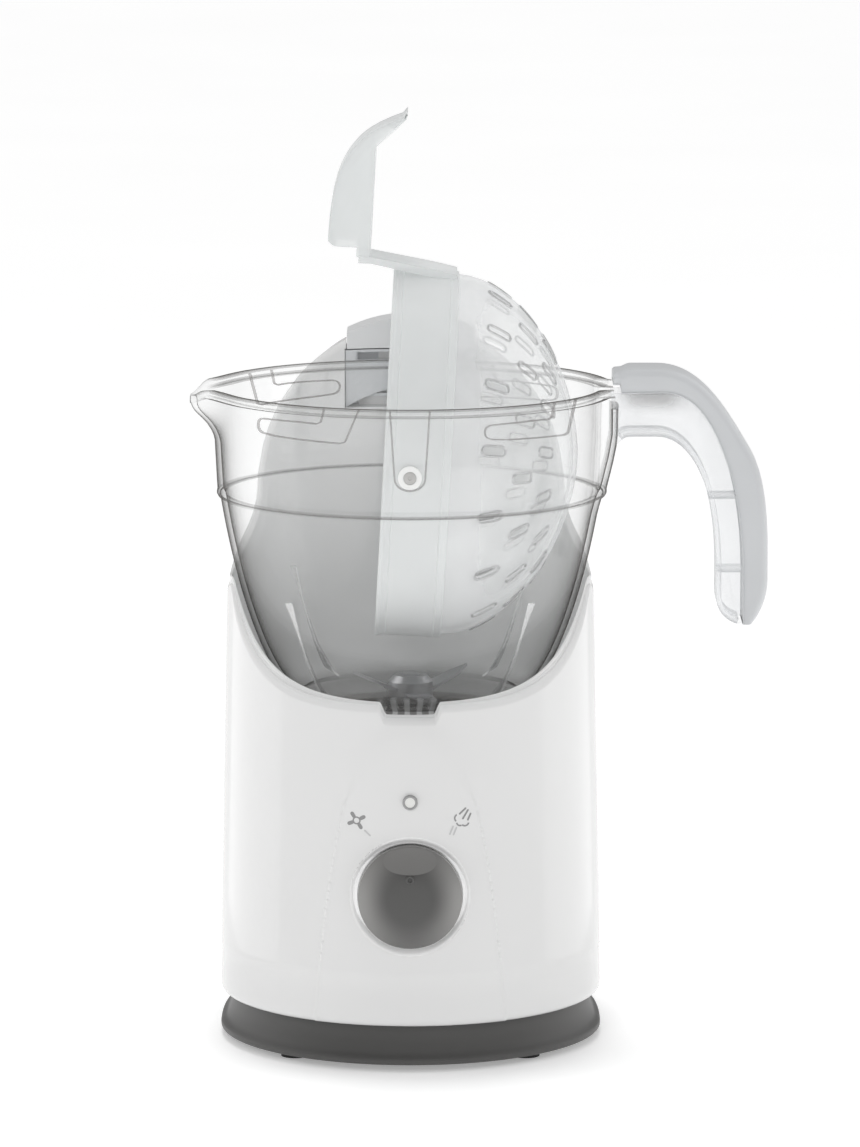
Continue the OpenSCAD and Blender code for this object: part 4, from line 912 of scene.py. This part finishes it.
def slot_rims():
    """Rounded rims round the dome's steam slots: a thin tube carried round each oval."""
    t = turn(8)
    straight = linspace(-SLOT_HALF, SLOT_HALF, 6)
    cap = linspace(pi / 2, -pi / 2, 9)[1:-1]
    half = vstack([coords(straight, 0 * straight + SLOT_R),
                   coords(SLOT_HALF + SLOT_R * cos(cap), SLOT_R * sin(cap))])
    oval = vstack([half, -half])
    step = np.roll(oval, -1, 0) - np.roll(oval, 1, 0)
    step /= np.linalg.norm(step, axis=1, keepdims=True)
    side = coords(step[:, 1], -step[:, 0])
    u = oval[:, None, 0] + 0.5 * cos(t) * side[:, None, 0]
    v = oval[:, None, 1] + 0.5 * cos(t) * side[:, None, 1]
    w = 0.5 * sin(t) - 0.27 * (oval[:, None, 0] / SLOT_HALF / 1.5) ** 2 - 0.1
    parts = []
    for f, turned in ((0.235, 0.43), (0.40, 0.0), (0.545, 0.5)):
        p, q = dome_place(f), dome_place(f + 0.02)
        along = (q - p) / np.linalg.norm(q - p)
        out = np.array([-along[1], along[0]])
        r = p[0] + u * along[0] + w * out[0]
        z = p[1] + u * along[1] + w * out[1]
        for k in range(SLOTS):
            b = 2 * pi * (k + turned) / SLOTS
            grid = coords(r * cos(b) - v * sin(b), r * sin(b) + v * cos(b), z)
            parts.append((tipped(grid), net(len(oval), len(t), True)))
    return join(*parts)


# Base


def tray_grid():
    """The grey tray as one closed grid: its profile offset round the housing's plan."""
    a = turn(360)
    profile = vstack([[[30, 3.0], [79.6, 3.0]],
                      bezier((80.6, 3.0), (81.3, 3.1), (81.5, 3.6), (81.5, 4.3), 5),
                      bezier((81.5, 5.2), (81.3, 6.2), (79.4, 6.6), (78.6, 8.4), 8,
                             (77.2, 11.4), (76.2, 14), (76.0, 22), 10),
                      [[74, 22.4], [30, 22.4]]])
    return np.stack([polar(plan(r, a), a, z) for r, z in profile])


def dressed(name, finish, body, node, crease=32.0, slot=None):
    """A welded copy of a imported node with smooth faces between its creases."""
    source = frame["nodes"][node].data
    points = np.empty(len(source.vertices) * 3)
    source.vertices.foreach_get("co", points)
    faces = [list(f.vertices) for f in source.polygons]
    return piece(name, points / MM, faces, finish, body, node, slot, crease)


def cut(target, *boxes):
    """Cuts boxes, each from its low to its high corner, out of a piece for good."""
    sides = [(0, 1, 3, 2), (4, 6, 7, 5), (0, 4, 5, 1), (2, 3, 7, 6), (0, 2, 6, 4), (1, 5, 7, 3)]
    for box in boxes:
        box = np.array(box) * MM
        corners = [[box[i][0], box[j][1], box[k][2]] for i in (0, 1) for j in (0, 1) for k in (0, 1)]
        mesh = bpy.data.meshes.new("cutter")
        mesh.from_pydata(corners, [], sides)
        cutter = add("cutter", mesh)
        change = target.modifiers.new("cut", "BOOLEAN")
        change.operation, change.object, change.solver = "DIFFERENCE", cutter, "EXACT"
        bpy.context.view_layer.update()
        seen = target.evaluated_get(bpy.context.evaluated_depsgraph_get())
        done = bpy.data.meshes.new_from_object(seen)
        target.modifiers.clear()
        target.data = done
        bpy.data.objects.remove(cutter)
    smooth(target.data, 38)


def aim_at(place, target):
    """Rotation that points a lamp or camera at a target."""
    return (Vector(target) - Vector(place)).to_track_quat("-Z", "Y").to_euler()


# Settings


def colour(name, description, default):
    """A colour in the panel."""
    return FloatVectorProperty(name=name, description=description, subtype="COLOR", size=3, default=default)


def level(name, description, default):
    """A strength in the panel."""
    return FloatProperty(name=name, description=description, default=default, min=0)


class FoodMakerSettings(bpy.types.PropertyGroup):
    shell_colour: colour("Shell", "Colour of the housing", (0.71, 0.71, 0.708))
    dark_colour: colour("Tray and knob", "Colour of the tray, seat and knob", (0.075, 0.074, 0.072))
    pale_colour: colour("Cover and lid", "Colour of handle cover and tank lid", (0.57, 0.582, 0.595))
    frost_colour: colour("Basket", "Colour of the frosted basket band", (0.79, 0.8, 0.8))
    key_power: level("Key light", "Strength of the overhead light", 1.2)
    world_level: level("Surround", "Brightness of the studio", 0.42)


class Step(bpy.types.Operator):
    """One building step, named in Blender after its class"""
    bl_options = {"REGISTER", "UNDO"}

    def __init_subclass__(cls):
        name = cls.__name__.split("_")[-1]
        cls.bl_idname, cls.bl_label = f"foodmaker.{name}", name.title()

    def execute(self, context):
        self.build(context.scene.food_maker)
        return {"FINISHED"}


class FOODMAKER_OT_finishes(Step):
    """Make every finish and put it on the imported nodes"""

    def build(self, p):
        make_finishes(p)
        slots = {s["node"]: s["material_slot"] for s in frame["record"]["subparts"]}
        for name, node in frame["nodes"].items():
            node.data.materials.clear()
            look = {"knob": "knob_satin", "pivot_shoes": "shoe_white"}.get(name, slots[name])
            node.data.materials.append(FINISHES[look])


class FOODMAKER_OT_housing(Step):
    """Build the white shell"""

    def build(self, p):
        shell = piece("shell", *sheet(housing_grid()), "white_shell", "base", "housing")
        piece("dish", *dish(), "white_shell", "base", crease=50)
        cut(shell, ((-28.4, 60, 284.6), (28.4, 130, 340)), ((-28.9, 60, 259.4), (28.9, 92.6, 284.9)))


class FOODMAKER_OT_jug(Step):
    """Build the clear jug with its handle, guides, bayonet tracks and fins"""

    def build(self, p):
        piece("jug_bowl", *sheet(jug_grid()), "clear_jug", "jug", "jug", crease=50)
        for name, part, look in (("jug_handle", channel(), "clear_handle"),
                                 ("jug_guides", guides(), "clear_line"),
                                 ("jug_bayonets", bayonets(), "clear_line"),
                                 ("jug_fins", fins(), "clear_rib")):
            piece(name, *part, look, "jug", slot="clear_jug")
        piece("cover", *cover(), "pale_grey", "jug", "handle_cover", crease=60)


class FOODMAKER_OT_controls(Step):
    """Build the knob, its marker, the lamp's ring and the marks"""

    def build(self, p):
        grid = knob_grid()
        piece("knob_face", grid, net(*grid.shape[:2]), "knob_satin", "knob", "knob", "dark_satin")
        piece("knob_marker", *ring_y(KNOB_Z + 8.3, 0.9, 1.8, -86.0, -87.3, 0.2), "knob_satin", "knob",
              slot="dark_satin")
        piece("lamp_ring", *ring_y(LAMP_Z, 2.1, 3.15, -78.0, -81.75, 0.4), "ring_grey", "base",
              slot="dark_satin")
        piece("marks", *marks(), "icon_grey", "base", slot="pale_grey")
        piece("ticks", *ticks(), "tick_grey", "base", slot="pale_grey")


class FOODMAKER_OT_basket(Step):
    """Build the steam basket's band, lever and slot rims and dress its dome"""

    def build(self, p):
        piece("band", *band_parts(), "frosted", "basket", "basket_band")
        piece("pins", *pins(), "pin_grey", "basket", slot="frosted")
        piece("lever", *lever_parts(), "frosted", "basket", "basket_lever")
        dressed("dome", "clear_basket", "basket", "basket_dome", 30)
        piece("dome_rims", *slot_rims(), "slot_line", "basket", slot="clear_basket")


class FOODMAKER_OT_base(Step):
    """Build the tray and dress the plain fittings"""

    def build(self, p):
        piece("tray", *sheet(tray_grid()), "dark_satin", "base", "base_tray")
        dressed("seat", "seat_grey", "base", "jug_seat", slot="dark_satin")
        dressed("lid", "lid_grey", "tank_lid", "tank_lid", slot="pale_grey")
        dressed("outlet", "pale_grey", "base", "steam_outlet")
        dressed("blade_wings", "steel", "blade", "blades", 25)


class FOODMAKER_OT_stage(Step):
    """Set the floor, the lights and the camera"""

    def build(self, p):
        scene = bpy.context.scene
        scene.world = bpy.data.worlds.new("studio")
        scene.world.use_nodes = True
        background = scene.world.node_tree.nodes["Background"].inputs
        background["Color"].default_value = (1, 1, 1, 1)
        background["Strength"].default_value = p.world_level
        scene.view_settings.view_transform = "Standard"
        scene.cycles.transparent_max_bounces = 48
        mesh = bpy.data.meshes.new("floor")
        mesh.from_pydata([(-30, -30, 0), (30, -30, 0), (30, 30, 0), (-30, 30, 0)], [], [(0, 1, 2, 3)])
        floor = add("floor", mesh)
        f = Finish("floor_white")
        soft = f.noise(3.0)
        mesh.materials.append(f.finish(f.surface(
            Base_Color=f.blend(soft, rgba(0.9), rgba(0.92)),
            Roughness=soft * 0.1 + 0.6, Emission_Color=rgba(1), Emission_Strength=0.3)))
        # Each light's width and height; the gloss lights draw the streaks and light nothing else
        for name, place, aim, size, power in (
                ("key", (-0.08, 0.5, 2.2), (0, 0, 0.1), None, p.key_power),
                ("left", (-1.6, 0.0, 0.7), (0, 0, 0.15), (0.9, 0.56), 3.4),
                ("right", (1.6, 0.0, 0.7), (0, 0, 0.15), (0.9, 0.56), 4.4),
                ("gloss_left", (-0.25, 0.09, 0.28), (0, 0.09, 0.28), (0.32, 0.56), 0.34),
                ("gloss_right", (0.25, 0.09, 0.28), (0, 0.09, 0.28), (0.3, 0.56), 0.3),
                ("fill", (-0.3, -2.6, 1.4), (0, 0, 0.2), (1.2, 1.2), 18.0)):
            light = bpy.data.lights.new(name, "AREA" if size else "SUN")
            light.energy = power
            if size:
                light.shape, (light.size, light.size_y) = "RECTANGLE", size
            else:
                light.angle = 0.35
            lamp = add(name, light)
            lamp.visible_diffuse, lamp.visible_glossy = "gloss" not in name, "gloss" in name
            lamp.location = place
            lamp.rotation_euler = aim_at(place, aim)
        lens = bpy.data.cameras.new("camera")
        lens.lens, lens.sensor_width, lens.clip_end = 208.8, 36.0, 50.0
        scene.camera = camera = add("camera", lens)
        camera.location = (0.0083, -2.8, 0.6388)
        camera.rotation_euler = aim_at(camera.location, (0.0083, 0, 0.1988))


STEPS = (FOODMAKER_OT_finishes, FOODMAKER_OT_housing, FOODMAKER_OT_base, FOODMAKER_OT_controls,
         FOODMAKER_OT_jug, FOODMAKER_OT_basket, FOODMAKER_OT_stage)


class FOODMAKER_PT_panel(bpy.types.Panel):
    """Lists the building steps"""
    bl_label = "Baby Food Maker"
    bl_idname = "FOODMAKER_PT_panel"
    bl_space_type = "VIEW_3D"
    bl_region_type = "UI"
    bl_category = "Food Maker"

    def draw(self, context):
        for prop in FoodMakerSettings.__annotations__:
            self.layout.prop(context.scene.food_maker, prop)
        for step in STEPS:
            self.layout.operator(step.bl_idname)


CLASSES = (FoodMakerSettings, *STEPS, FOODMAKER_PT_panel)


def register():
    for cls in CLASSES:
        bpy.utils.register_class(cls)
    bpy.types.Scene.food_maker = PointerProperty(type=FoodMakerSettings)


def unregister():
    del bpy.types.Scene.food_maker
    for cls in reversed(CLASSES):
        bpy.utils.unregister_class(cls)


def main():
    register()
    for step in STEPS:
        getattr(bpy.ops.foodmaker, step.bl_label.lower())()


if __name__ == "__main__":
    main()
